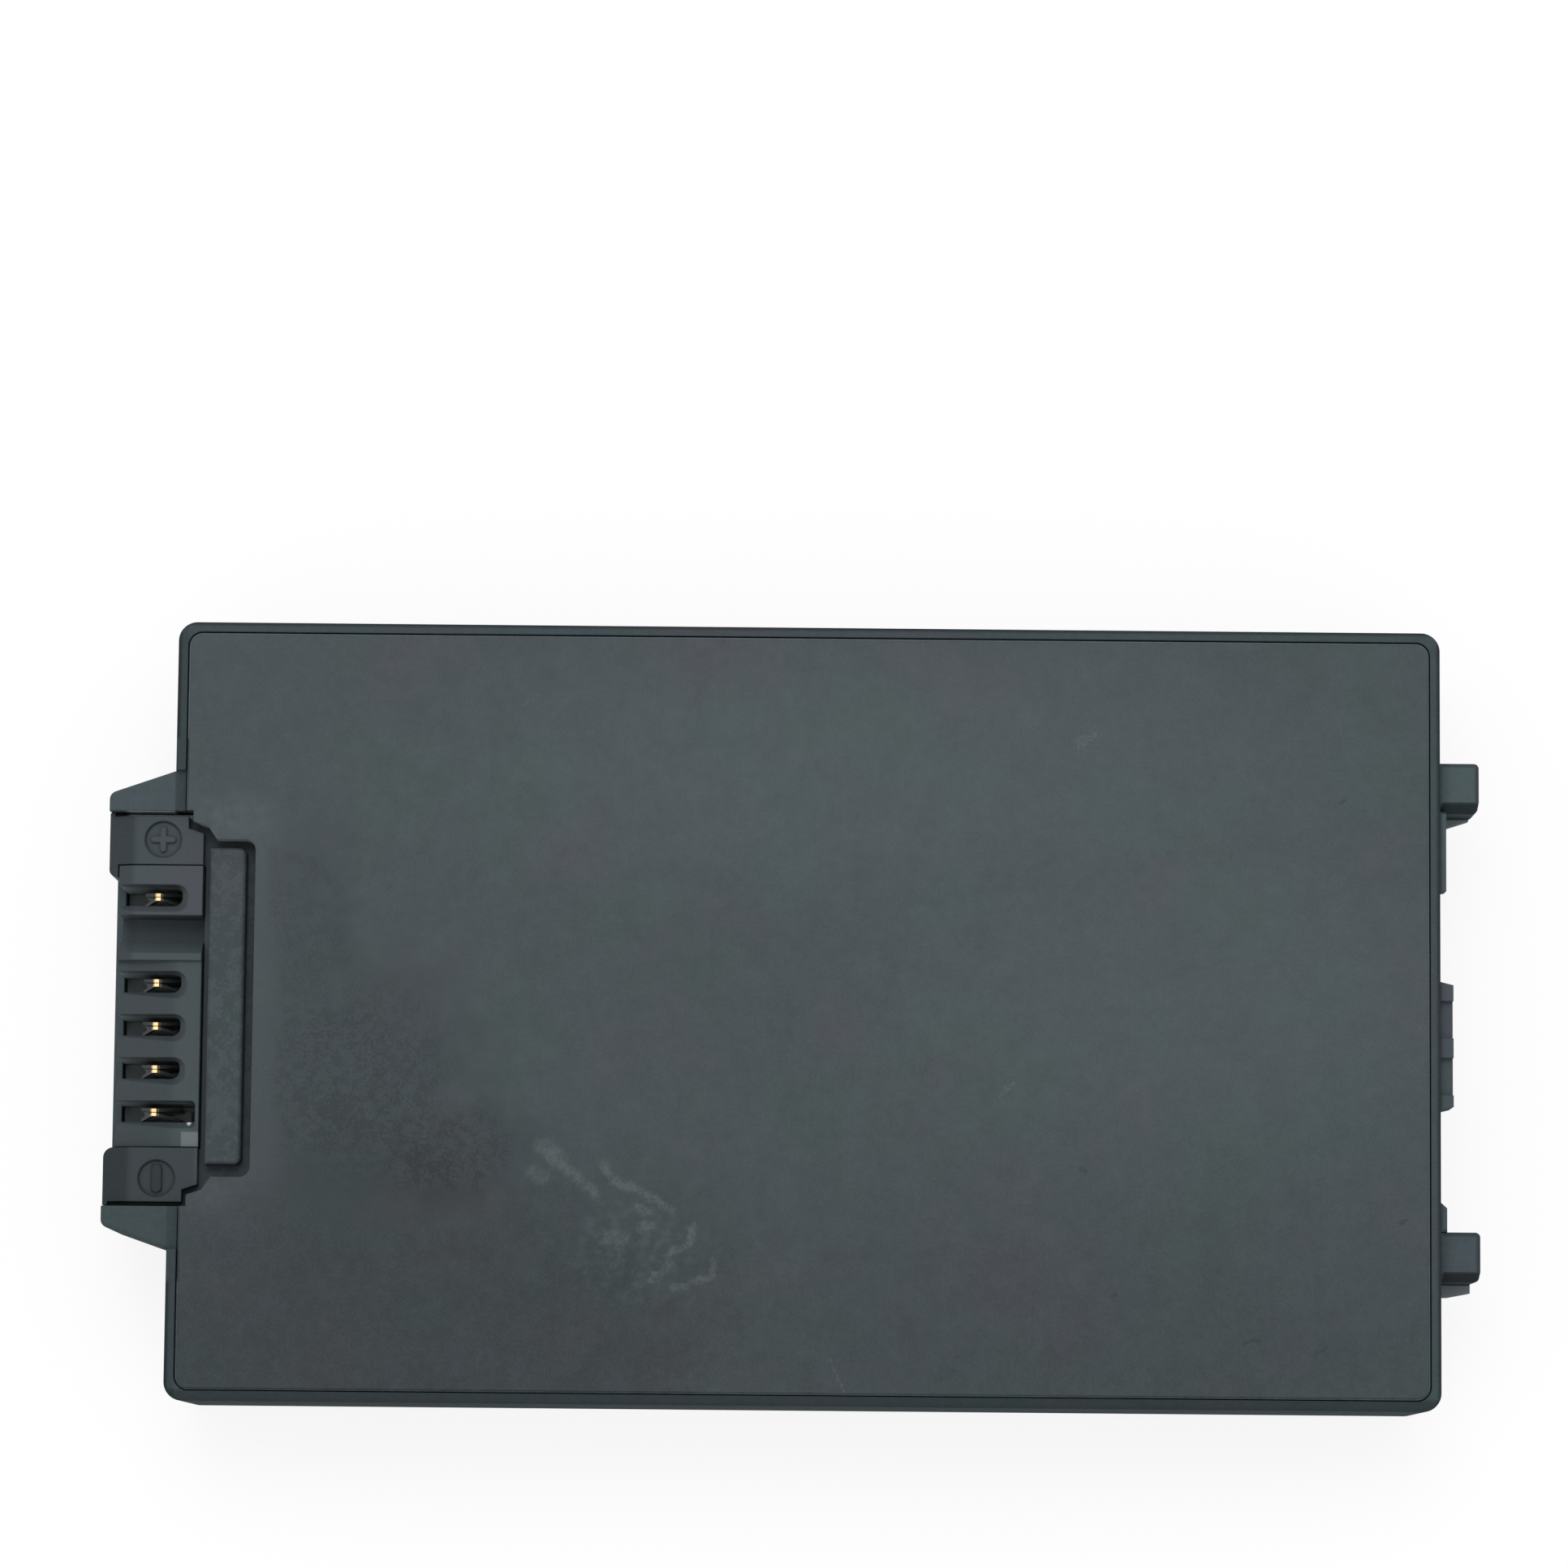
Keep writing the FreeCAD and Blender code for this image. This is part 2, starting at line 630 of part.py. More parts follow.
def add_latch(body):
    """Latch block between the lugs, with sloped ends and two notches in its top."""
    upper = "Sizes.latch_centre + Sizes.latch_length / 2"
    lower = "Sizes.latch_centre - Sizes.latch_length / 2"
    prism(body, "latch", "XY_Plane", ("Layout.latch_top - Sizes.latch_height", "Layout.latch_top"), [
        ("Layout.lug_face - Sizes.boss_root", lower),
        ("Layout.lug_face", lower),
        ("Layout.lug_face + Sizes.latch_reach", f"{lower} + Sizes.latch_slope"),
        ("Layout.lug_face + Sizes.latch_reach", f"{upper} - Sizes.latch_slope"),
        ("Layout.lug_face", upper),
        ("Layout.lug_face - Sizes.boss_root", upper),
    ])
    for side, word in ((1, "upper"), (-1, "lower")):
        middle = f"Sizes.latch_centre + Sizes.latch_notch_shift + {side} * Sizes.latch_notch_pitch / 2"
        block(body, f"{word}_latch_notch", ("Layout.lug_face", "Layout.lug_face + Sizes.latch_reach"),
              (f"{middle} - Sizes.latch_notch / 2", f"{middle} + Sizes.latch_notch / 2"),
              ("Layout.latch_top - Sizes.latch_notch_depth", "Layout.latch_top"), cut=True)


def make_case_base():
    """Tray of the case with everything that is moulded on it."""
    body = new_body("case_base")
    rounded_block(body, "shell", about("Layout.case_length / 2"), about("Layout.side"),
                  ("0", "Layout.case_top"), "Sizes.case_corner")
    soften(body, "underside_edges", "Sizes.underside_edge", lambda edge: lies_at(edge, z=0))
    top = number("Layout.case_top")
    soften(body, "rim_edges", "Sizes.rim_edge", lambda edge: lies_at(edge, z=top))

    add_nose(body)
    half_spacing = "Sizes.lug_spacing / 2"
    add_lug(body, "upper_lug", half_spacing)
    add_lug(body, "lower_lug", f"-{half_spacing}")
    add_ridge(body, "upper_ridge", f"{half_spacing} - Sizes.lug_width / 2")
    add_ridge(body, "lower_ridge", f"-{half_spacing} + Sizes.lug_width / 2")
    add_latch(body)

    rounded_block(body, "cover_recess", about("Layout.case_length / 2 - Sizes.rim"),
                  about("Layout.side - Sizes.rim"), ("Layout.cover_seat", "Layout.case_top"),
                  "Sizes.cover_corner + Sizes.cover_gap", cut=True)
    rounded_block(body, "bay", ("Layout.bay_start", "Layout.bay_end"), about("Layout.bay_side"),
                  ("Sizes.floor_thickness", "Layout.cover_seat"), "Sizes.bay_corner", cut=True)
    cut_nose(body)

    block(body, "cell_rib", ("Layout.rib_start", "Layout.rib_start + Sizes.rib_thickness"),
          about("Layout.bay_side - Sizes.rib_side_gap"),
          ("Sizes.floor_thickness", "Sizes.floor_thickness + Sizes.rib_height"))
    posts = [(x, f"{side} * Layout.post_line")
             for x in ("Layout.near_post", "Layout.far_post") for side in (1, -1)]
    cylinders(body, "board_posts", posts, "Sizes.post_radius",
              ("Sizes.floor_thickness", "Sizes.nose_floor"))
    cylinders(body, "board_pins", posts[:2], "Sizes.pin_radius",
              ("Sizes.nose_floor", "Layout.board_top + Sizes.pin_rise"))
    return body


def notch_outline():
    """Outline of the cover's notch: shoulders, slopes and the wide end behind the bar."""
    shoulder = "Layout.end_face + Sizes.shoulder_depth + Sizes.notch_gap"
    outline = [
        ("Layout.end_face", "Layout.pocket_half"),
        (shoulder, "Layout.pocket_half"),
        (shoulder, "Layout.shoulder_half + Sizes.notch_gap"),
        ("Layout.pad_rear + Sizes.notch_gap", "Layout.pad_rear_half + Sizes.notch_gap"),
        ("Layout.pad_rear + Sizes.notch_gap + Sizes.notch_slope", "Layout.notch_half"),
        ("Layout.notch_end", "Layout.notch_half"),
    ]
    lower = [(x, frame_line(y, -1)) for x, y in reversed(outline)]
    return [(x, frame_line(y)) for x, y in outline] + lower


def make_case_cover():
    """Flush cover plate with a flange, a notch, a locating skirt and the rib on the contact frame."""
    body = new_body("case_cover")
    flange_inset = "(Sizes.rim + Sizes.seam)"
    rounded_block(body, "flange", about(f"Layout.case_length / 2 - {flange_inset}"),
                  about(f"Layout.side - {flange_inset}"),
                  ("Layout.cover_seat", "Layout.case_top - Sizes.groove_depth"),
                  "Sizes.cover_corner + Sizes.cover_gap - Sizes.seam")
    inset = "(Sizes.rim + Sizes.cover_gap)"
    plate_span = ("Layout.cover_seat", "Layout.case_top")
    rounded_block(body, "plate", about(f"Layout.case_length / 2 - {inset}"),
                  about(f"Layout.side - {inset}"), plate_span, "Sizes.cover_corner")

    skirt_span = ("Layout.cell_top + Sizes.skirt_rise", "Layout.cover_seat")
    half_length = "Layout.bay_end - Sizes.skirt_gap"
    half_width = "Layout.bay_side - Sizes.skirt_gap"
    rounded_block(body, "skirt", about(half_length), about(half_width), skirt_span, "Sizes.bay_corner")
    block(body, "skirt_inside", about(f"{half_length} - Sizes.skirt_thickness"),
          about(f"{half_width} - Sizes.skirt_thickness"), skirt_span, cut=True)
    block(body, "frame_clearance", ("Layout.end_face", "Layout.ledge_end + Sizes.frame_fit"),
          frame_sides("Layout.pocket_half + Sizes.frame_fit"), skirt_span, cut=True)
    block(body, "hold_down_rib", ("Layout.notch_end", "Layout.notch_end + Sizes.hold_down_width"),
          frame_sides("Layout.notch_half"), ("Layout.ledge_top", "Layout.cover_seat"))

    prism(body, "notch", "XY_Plane", plate_span, notch_outline(), cut=True)
    corner_x = number("Layout.notch_end")
    corner_y = [number(line) for line in frame_sides("Layout.notch_half")]
    plate_bounds = [number(level) for level in plate_span]
    soften(body, "notch_corners", "Sizes.notch_corner",
           lambda edge: upright(edge) and lies_at(edge, x=corner_x) and within(edge, z=plate_bounds)
           and min(abs(edge.BoundBox.YMin - y) for y in corner_y) < TOUCH)
    return body


def pad_outline(side):
    """Outline of one pad of the contact frame, on the upper or lower side of the housing."""
    inner = across("Layout.opening_half", side)
    edge = frame_line("Layout.frame_half", side)
    lip = frame_line("Layout.pocket_half - Sizes.frame_fit", side)
    return [
        ("Layout.nose_tip", inner),
        ("Layout.nose_tip", lip),
        ("Layout.nose_tip + Sizes.front_lip", lip),
        ("Layout.nose_tip + Sizes.front_lip", edge),
        ("Layout.end_face + Sizes.shoulder_depth", edge),
        ("Layout.end_face + Sizes.shoulder_depth", frame_line("Layout.shoulder_half", side)),
        ("Layout.pad_rear", frame_line("Layout.pad_rear_half", side)),
        ("Layout.pad_rear", inner),
    ]


def make_contact_frame():
    """Frame round the housing: two legs with pads, a toe, a ledge under the cover's edge and the bar."""
    body = new_body("contact_frame")
    ledge_span = ("Layout.ledge_bottom", "Layout.ledge_top")
    block(body, "ledge", ("Layout.bay_start + Sizes.frame_fit", "Layout.ledge_end"),
          frame_sides("Layout.pocket_half - Sizes.frame_fit"), ledge_span)
    block(body, "housing_opening", ("Layout.end_face", "Layout.housing_rear + Sizes.seam"),
          both_sides("Layout.opening_half"), ledge_span, cut=True)
    for side, word in ((1, "upper"), (-1, "lower")):
        inner = across("Layout.opening_half", side)
        outer = frame_line("Layout.pocket_half - Sizes.frame_fit", side)
        block(body, f"{word}_leg", ("Layout.nose_tip", "Layout.pad_rear"), (inner, outer),
              ("Sizes.nose_floor", "Layout.ledge_top"))
        prism(body, f"{word}_pad", "XY_Plane", ("Layout.ledge_top", "Layout.pad_top"), pad_outline(side))

    bar_lower = frame_line("Layout.notch_half - Sizes.bar_lower_gap", -1)
    bar_upper = frame_line("Layout.notch_half - Sizes.bar_upper_gap")
    block(body, "bar", ("Layout.bar_start", "Layout.bar_end"), (bar_lower, bar_upper),
          ("Layout.ledge_top", "Layout.bar_top"))
    bar_end = number("Layout.bar_end")
    bar_top = number("Layout.bar_top")
    bar_bounds = number("Layout.ledge_top"), bar_top
    soften(body, "bar_corners", "Sizes.bar_corner",
           lambda edge: upright(edge) and lies_at(edge, x=bar_end) and within(edge, z=bar_bounds))
    soften(body, "bar_edges", "Sizes.bar_edge", lambda edge: lies_at(edge, z=bar_top))

    toe_line = across("Layout.opening_half - Sizes.toe_width")
    block(body, "toe", ("Layout.nose_tip", "Layout.housing_front - Sizes.seam"),
          (toe_line, across("Layout.opening_half")), ("Layout.sill_top", "Layout.pad_top"))
    tip = number("Layout.nose_tip")
    toe_side = number(toe_line)
    soften(body, "toe_corner", "Sizes.toe_corner",
           lambda edge: upright(edge) and lies_at(edge, x=tip, y=toe_side))
    lower_side = number(across("Layout.opening_half", -1))
    soften(body, "pad_corner", "Sizes.pad_corner",
           lambda edge: upright(edge) and lies_at(edge, x=tip, y=lower_side))
    prism(body, "pad_slope", "XZ_Plane", frame_sides("Layout.pocket_half"), [
        ("Layout.nose_tip", "Layout.pad_top - Sizes.pad_slope_fall"),
        ("Layout.nose_tip + Sizes.pad_slope_length", "Layout.pad_top"),
        ("Layout.nose_tip", "Layout.pad_top"),
    ], cut=True)
    marks = [("Layout.end_face - Sizes.mark_reach", line)
             for line in frame_sides("Layout.frame_half - Sizes.mark_inset")]
    cylinders(body, "polarity_dimples", marks, "Sizes.mark_radius",
              ("Layout.pad_top - Sizes.mark_depth", "Layout.pad_top"), cut=True)
    return body


def slot_sides(contact):
    """Bounds of a contact slot across the case."""
    middle = contact_line(contact)
    return f"{middle} - Sizes.slot_width / 2", f"{middle} + Sizes.slot_width / 2"


def slot_reach(contact):
    """Bounds of a contact slot along the case, from ahead of the housing, and the radius of its end."""
    ahead = "Layout.housing_front - Sizes.slot_width"
    end = "Layout.end_face + Sizes.slot_end"
    if contact == LONG_SLOT:
        return (ahead, f"{end} + Sizes.long_slot_extra"), "Sizes.long_slot_corner"
    return (ahead, end), "Sizes.slot_corner"


def add_slot(body, contact):
    """One contact slot with its rounded end and the window where the contact's tail leaves."""
    reach, corner = slot_reach(contact)
    rounded_block(body, f"{contact}_slot", reach, slot_sides(contact),
                  ("Layout.board_top", "Layout.housing_top"), corner, cut=True)
    middle = contact_line(contact)
    half_window = "Sizes.tail_width / 2 + Sizes.tail_fit"
    block(body, f"{contact}_window", (f"{reach[1]} - Sizes.slot_width / 2", "Layout.housing_rear"),
          (f"{middle} - ({half_window})", f"{middle} + {half_window}"),
          ("Layout.board_top", "Layout.board_top + Sizes.strip + Sizes.tail_fit"), cut=True)


def cut_slot_rim(body, contact, level):
    """Sloped rim along the lower side of a slot and round its end."""
    reach, corner = slot_reach(contact)
    lower, upper = slot_sides(contact)
    wide_reach, wide_corner = reach, corner
    if contact != LONG_SLOT:
        wide_reach = (reach[0], f"{reach[1]} + Sizes.slot_rim_width")
        wide_corner = f"{corner} + Sizes.slot_rim_width / 2"
    wide = new_sketch(body, f"{contact}_rim_outline", "XY_Plane", level)
    draw_rounded_rectangle(wide, wide_reach, (f"{lower} - Sizes.slot_rim_width", upper), wide_corner)
    narrow = new_sketch(body, f"{contact}_rim_foot", "XY_Plane", f"{level} - Sizes.slot_rim_depth")
    draw_rounded_rectangle(narrow, reach, (lower, upper), corner)
    rim = body.newObject("PartDesign::SubtractiveLoft", f"{contact}_rim")
    rim.Profile = wide
    rim.Sections = [narrow]
    rim.Ruled = True
    settle(body, rim)


def make_connector_housing():
    """Housing of the contacts: slots, a key slot and the sunken field round the four lower slots."""
    body = new_body("connector_housing")
    depth = ("Layout.housing_front", "Layout.housing_rear")
    block(body, "body_block", depth, both_sides("Layout.housing_half"),
          ("Sizes.nose_floor", "Layout.housing_top"))
    group = (across("Layout.housing_half", -1), f"{contact_line(FIELD_EDGE)} + Sizes.group_margin")
    field = "Layout.housing_top - Sizes.group_drop"
    block(body, "sunken_field", depth, group, (field, "Layout.housing_top"), cut=True)
    prism(body, "field_slope", "XZ_Plane", group, [
        ("Layout.housing_front", f"{field} - Sizes.group_slope_fall"),
        ("Layout.end_face + Sizes.group_slope_start", field),
        ("Layout.housing_front", field),
    ], cut=True)
    prism(body, "housing_slope", "XZ_Plane", (group[1], across("Layout.housing_half")), [
        ("Layout.housing_front", "Layout.housing_top - Sizes.housing_slope_fall"),
        ("Layout.housing_front + Sizes.housing_slope_length", "Layout.housing_top"),
        ("Layout.housing_front", "Layout.housing_top"),
    ], cut=True)
    key = across("Layout.first_contact - Sizes.key_step")
    key_lower = f"{key} - Sizes.key_width / 2"
    block(body, "key_slot", depth, (key_lower, f"{key} + Sizes.key_width / 2"),
          ("Layout.housing_top - Sizes.key_depth", "Layout.housing_top"), cut=True)
    prism(body, "key_slope", "YZ_Plane", depth, [
        (key_lower, "Layout.housing_top"),
        (f"{key_lower} - Sizes.key_slope_width", "Layout.housing_top"),
        (key_lower, "Layout.housing_top - Sizes.key_slope_depth"),
    ], cut=True)
    for contact in CONTACTS:
        add_slot(body, contact)
    front = number("Layout.housing_front")
    lower_sides = [number(slot_sides(contact)[0]) for contact in CONTACTS]
    soften(body, "mouth_rounds", "Sizes.mouth_round",
           lambda edge: upright(edge) and lies_at(edge, x=front)
           and min(abs(edge.BoundBox.YMin - side) for side in lower_sides) < TOUCH)
    for contact, order in CONTACTS.items():
        cut_slot_rim(body, contact, field if order >= CONTACTS[FIELD_EDGE] else "Layout.housing_top")
    return body


def make_contact(label):
    """Pinch contact, drawn round the middle of its slot: a base, two bent leaves and a tail."""
    body = new_body(label)
    half = "Layout.contact_half"
    top = "(Layout.housing_top - Sizes.leaf_drop - Layout.board_top)"
    front = "-Sizes.pinch_reach - Sizes.leaf_front"
    rear = "-Sizes.pinch_reach + Sizes.leaf_rear"
    pinch = ("-Sizes.pinch_reach - Sizes.pinch_length / 2", "-Sizes.pinch_reach + Sizes.pinch_length / 2")
    gap = "Sizes.pinch_gap / 2"
    block(body, "base", (front, rear), about(half), ("0", "Sizes.strip"))
    for side, word in ((1, "upper"), (-1, "lower")):
        corners = [
            (rear, half),
            (rear, f"{half} - Sizes.strip"),
            (pinch[1], gap),
            (pinch[0], gap),
            (front, f"{half} - Sizes.strip"),
            (front, half),
            (pinch[0], f"{gap} + Sizes.strip"),
            (pinch[1], f"{gap} + Sizes.strip"),
        ]
        prism(body, f"{word}_leaf", "XY_Plane", ("0", top),
              [(x, f"{side} * ({y})") for x, y in corners])
    for end, near, word in ((front, pinch[0], "front"), (rear, pinch[1], "rear")):
        prism(body, f"{word}_taper", "XZ_Plane", about(half), [
            (near, top),
            (end, top),
            (end, f"{top} - Sizes.leaf_fall"),
        ], cut=True)
    tail_end = "Sizes.board_start + Sizes.tail_lap"
    block(body, "tail", (rear, tail_end), about("Sizes.tail_width / 2"), ("0", "Sizes.strip"))
    place(body, "Layout.end_face", contact_line(label), "Layout.board_top")
    return body


def make_cell(label, centre, turn):
    """Prismatic cell, drawn round the middle of its underside, with its terminal at +Y."""
    body = new_body(label)
    block(body, "can", about("Sizes.cell_width / 2"), about("Sizes.cell_length / 2"),
          ("0", "Sizes.cell_thickness"))
    soften(body, "can_edges", "Sizes.cell_corner",
           lambda edge: edge.BoundBox.YLength > number("Sizes.cell_length") - TOUCH)
    end = "Sizes.cell_length / 2"
    block(body, "terminal", about("Sizes.terminal_width / 2"), (end, "Layout.strap_face"),
          ("Layout.terminal_low - Layout.cell_bottom", "Layout.terminal_high - Layout.cell_bottom"))
    block(body, "weld_plate", about("Sizes.weld_plate_width / 2"), ("-Layout.strap_face", f"-{end}"),
          ("Layout.plate_low - Layout.cell_bottom", "Layout.plate_high - Layout.cell_bottom"))
    place(body, centre, "0", "Layout.cell_bottom", turn)
    return body


def make_layer(label, centre, inset, z):
    """Tape under a cell or foam over it."""
    body = new_body(label)
    low, high = z
    block(body, "sheet", about(f"Sizes.cell_width / 2 - {inset}"),
          about(f"Sizes.cell_length / 2 - {inset}"), ("0", f"{high} - ({low})"))
    place(body, centre, "0", low)
    return body


def make_insulator(label, turn):
    """Insulating sheet over one end of both cells, with windows for a terminal and a weld plate."""
    body = new_body(label)
    sheet = ("Sizes.cell_length / 2", "Layout.strap_face")
    to_cell = "(Layout.cell_b_centre - Layout.cells_centre)"
    reach = f"{to_cell} + Sizes.cell_width / 2 - Sizes.insulator_inset"
    low = "Layout.cell_bottom + Sizes.insulator_foot"
    high = "Layout.plate_high + Sizes.insulator_margin"
    block(body, "sheet", about(reach), sheet, (low, high))
    terminal = "(Sizes.terminal_width / 2 + Sizes.window_gap)"
    block(body, "terminal_window", (f"-{to_cell} - {terminal}", f"-{to_cell} + {terminal}"), sheet,
          ("Layout.terminal_low - Sizes.window_gap", "Layout.terminal_high + Sizes.window_gap"), cut=True)
    plate = "(Sizes.weld_plate_width / 2 + Sizes.window_gap)"
    block(body, "plate_window", (f"{to_cell} - {plate}", f"{to_cell} + {plate}"), sheet,
          ("Layout.plate_low - Sizes.window_gap", high), cut=True)
    place(body, "Layout.cells_centre", "0", "0", turn)
    return body


def add_foot(body, name, end, side):
    """Part of a strap that is bent over onto the board."""
    inner = f"{side} * (Layout.board_half - Sizes.foot_lap)"
    outer = f"{side} * Layout.strap_back"
    block(body, name, (f"{end} - Sizes.foot_width", end), (inner, outer),
          ("Layout.board_top", "Layout.board_top + Sizes.strap_thickness"))


def strap(body, name, side, x, z):
    """Flat run of a strap along one side of the cells."""
    block(body, name, x, (f"{side} * Layout.strap_face", f"{side} * Layout.strap_back"), z)


def make_series_link():
    """Strap that joins the two cells, with a tap that runs to the board."""
    body = new_body("series_link")
    start = "Layout.cell_a_centre - Sizes.terminal_width / 2"
    turn_in = "Layout.near_foot_end - Sizes.foot_width"
    strap(body, "link", 1, (start, "Layout.cell_b_centre + Sizes.weld_plate_width / 2"),
          ("Layout.terminal_low", "Layout.plate_high"))
    strap(body, "tap", 1, (turn_in, start), ("Layout.plate_low", "Layout.plate_high"))
    strap(body, "drop", 1, (turn_in, "Layout.near_foot_end"), ("Layout.board_top", "Layout.plate_high"))
    add_foot(body, "foot", "Layout.near_foot_end", 1)
    return body


def make_positive_lead():
    """Strap from the near cell's weld plate to the board."""
    body = new_body("positive_lead")
    turn_in = "Layout.far_foot_end - Sizes.foot_width"
    strap(body, "run", -1, (turn_in, "Layout.cell_a_centre + Sizes.weld_plate_width / 2"),
          ("Layout.plate_low", "Layout.plate_high"))
    strap(body, "drop", -1, (turn_in, "Layout.far_foot_end"), ("Layout.board_top", "Layout.plate_high"))
    add_foot(body, "foot", "Layout.far_foot_end", -1)
    return body


def make_negative_lead():
    """Strap from the far cell's terminal to the board, below the positive lead."""
    body = new_body("negative_lead")
    turn_in = "Layout.near_foot_end - Sizes.foot_width"
    low = "min(Layout.terminal_low; Layout.board_top)"
    high = "max(Layout.terminal_high; Layout.board_top + Sizes.neck_rise)"
    strap(body, "run", -1, ("Layout.rib_start", "Layout.cell_b_centre + Sizes.terminal_width / 2"),
          (low, high))
    strap(body, "neck", -1, (turn_in, "Layout.rib_start"), ("Layout.board_top", high))
    add_foot(body, "foot", "Layout.near_foot_end", -1)
    return body


def make_board():
    """Circuit board on its four posts, held by two pins."""
    body = new_body("circuit_board")
    laminate = ("Sizes.nose_floor", "Layout.board_top")
    rounded_block(body, "laminate", ("Layout.board_edge", "Layout.board_end"), about("Layout.board_half"),
                  laminate, "Sizes.board_corner")
    holes = [("Layout.near_post", f"{side} * Layout.post_line") for side in (1, -1)]
    cylinders(body, "pin_holes", holes, "Sizes.pin_radius + Sizes.pin_fit", laminate, cut=True)
    return body


def seat_on_board(body, along):
    """Put a board part on the line of parts."""
    place(body, "Layout.chip_line", along, "Layout.board_top")


def make_chip(label, kind, along):
    """Moulded chip with a row of flat leads on each long side."""
    body = new_body(label)
    pins = LEAD_COUNTS[kind]
    length = f"Sizes.{kind}_length / 2"
    width = f"Sizes.{kind}_width / 2"
    block(body, "moulding", about(width), about(length), ("0", "Sizes.chip_height"))
    for pin in range(pins):
        middle = f"({pin} - {pins - 1} / 2) * Sizes.{kind}_pitch"
        block(body, f"lead_{pin}", about(f"{width} + Sizes.lead_reach"),
              (f"{middle} - Sizes.lead_width / 2", f"{middle} + Sizes.lead_width / 2"),
              ("0", "Sizes.lead_thickness"))
    seat_on_board(body, along)
    return body


def make_film_part(label, kind):
    """Flat two-ended part: resistor, fuse or thermistor, with thicker end caps."""
    body = new_body(label)
    rise = "Sizes.film_height"
    length = f"Sizes.{kind}_length / 2"
    width = f"Sizes.{kind}_width / 2"
    block(body, "ceramic", about(width), about(length), ("0", rise))
    cap = f"({width} - Sizes.lead_width)"
    for side, word in ((1, "right"), (-1, "left")):
        block(body, f"{word}_cap", (f"{side} * {cap}", f"{side} * {width}"), about(length),
              (rise, f"{rise} + Sizes.strap_thickness"))
    seat_on_board(body, f"Layout.{kind}_place")
    return body


def make_parts():
    """Every sub-part, from the case inwards."""
    parts = [make_case_base(), make_case_cover(), make_contact_frame(), make_connector_housing()]
    parts += [make_contact(label) for label in CONTACTS]
    parts.append(make_cell("cell_a", "Layout.cell_a_centre", 0))
    parts.append(make_cell("cell_b", "Layout.cell_b_centre", HALF_TURN))
    for letter in "ab":
        centre = f"Layout.cell_{letter}_centre"
        parts.append(make_layer(f"tape_{letter}", centre, "Sizes.tape_inset",
                                ("Sizes.floor_thickness", "Layout.cell_bottom")))
        parts.append(make_layer(f"foam_pad_{letter}", centre, "Sizes.foam_inset",
                                ("Layout.cell_top", "Layout.cover_seat")))
    parts.append(make_insulator("end_insulator_a", 0))
    parts.append(make_insulator("end_insulator_b", HALF_TURN))
    parts += [make_series_link(), make_positive_lead(), make_negative_lead(), make_board()]
    parts.append(make_chip("gauge_chip", "gauge", "0"))
    parts.append(make_chip("protector_chip", "protector", "Layout.protector_place"))
    parts.append(make_chip("switch_chip_a", "switch", "Layout.switch_a_place"))
    parts.append(make_chip("switch_chip_b", "switch", "Layout.switch_b_place"))
    parts.append(make_film_part("sense_resistor", "resistor"))
    parts.append(make_film_part("chip_fuse", "fuse"))
    parts.append(make_film_part("thermistor", "thermistor"))
    return parts


def check(parts):
    """Stop where any object failed or a sub-part has no valid solid."""
    doc.recompute()
    for item in doc.Objects:
        if "Invalid" in item.State or "Error" in item.State:
            raise RuntimeError(f"{item.Label} failed: {item.State}")
    for part in parts:
        if part.Shape.isNull() or not part.Shape.isValid():
            raise RuntimeError(f"{part.Label} has no valid shape")


def write(parts):
    """Write one file for each sub-part."""
    os.makedirs("parts", exist_ok=True)
    for part in parts:
        part.Shape.exportStep(f"parts/{part.Label}.step")
        print(part.Label, len(part.Shape.Solids), round(part.Shape.Volume, 2))


def main():
    parts = make_parts()
    check(parts)
    write(parts)


main()
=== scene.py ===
# %% [markdown]
# # A battery pack for a handheld computer
# The pack is a flat grey plastic case with a flush cover, a nose that carries the contacts at one end, and
# lugs with a latch block at the other. Its solids come from the CAD model as a fixed frame. What is left for
# Blender is what makes it look like a thing that has been used: the moulded grain, the worn and chalky
# places on the cover, the gold on the contacts, the raised polarity signs, the light and the camera.

# %% Load the frame
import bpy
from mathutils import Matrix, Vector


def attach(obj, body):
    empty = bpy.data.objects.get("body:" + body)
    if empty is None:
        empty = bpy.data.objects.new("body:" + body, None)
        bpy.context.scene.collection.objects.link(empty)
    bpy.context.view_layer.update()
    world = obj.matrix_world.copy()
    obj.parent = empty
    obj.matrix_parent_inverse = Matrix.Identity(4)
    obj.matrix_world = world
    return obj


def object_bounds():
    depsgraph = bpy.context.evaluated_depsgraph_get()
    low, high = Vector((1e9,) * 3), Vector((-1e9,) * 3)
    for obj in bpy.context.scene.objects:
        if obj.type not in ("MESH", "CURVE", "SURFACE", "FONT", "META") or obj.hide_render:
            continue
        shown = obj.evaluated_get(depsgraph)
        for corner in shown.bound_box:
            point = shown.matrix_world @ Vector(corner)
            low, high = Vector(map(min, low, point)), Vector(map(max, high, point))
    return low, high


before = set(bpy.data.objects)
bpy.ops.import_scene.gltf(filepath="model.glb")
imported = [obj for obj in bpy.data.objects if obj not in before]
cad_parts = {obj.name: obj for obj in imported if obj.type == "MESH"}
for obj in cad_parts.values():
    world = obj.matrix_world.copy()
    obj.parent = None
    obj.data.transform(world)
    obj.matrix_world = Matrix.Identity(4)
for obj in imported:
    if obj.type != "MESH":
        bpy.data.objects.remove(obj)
cad_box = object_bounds()
print("nodes:", len(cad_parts))
print("CAD box in millimetres:", [[round(value * 1000, 2) for value in corner] for corner in cad_box])

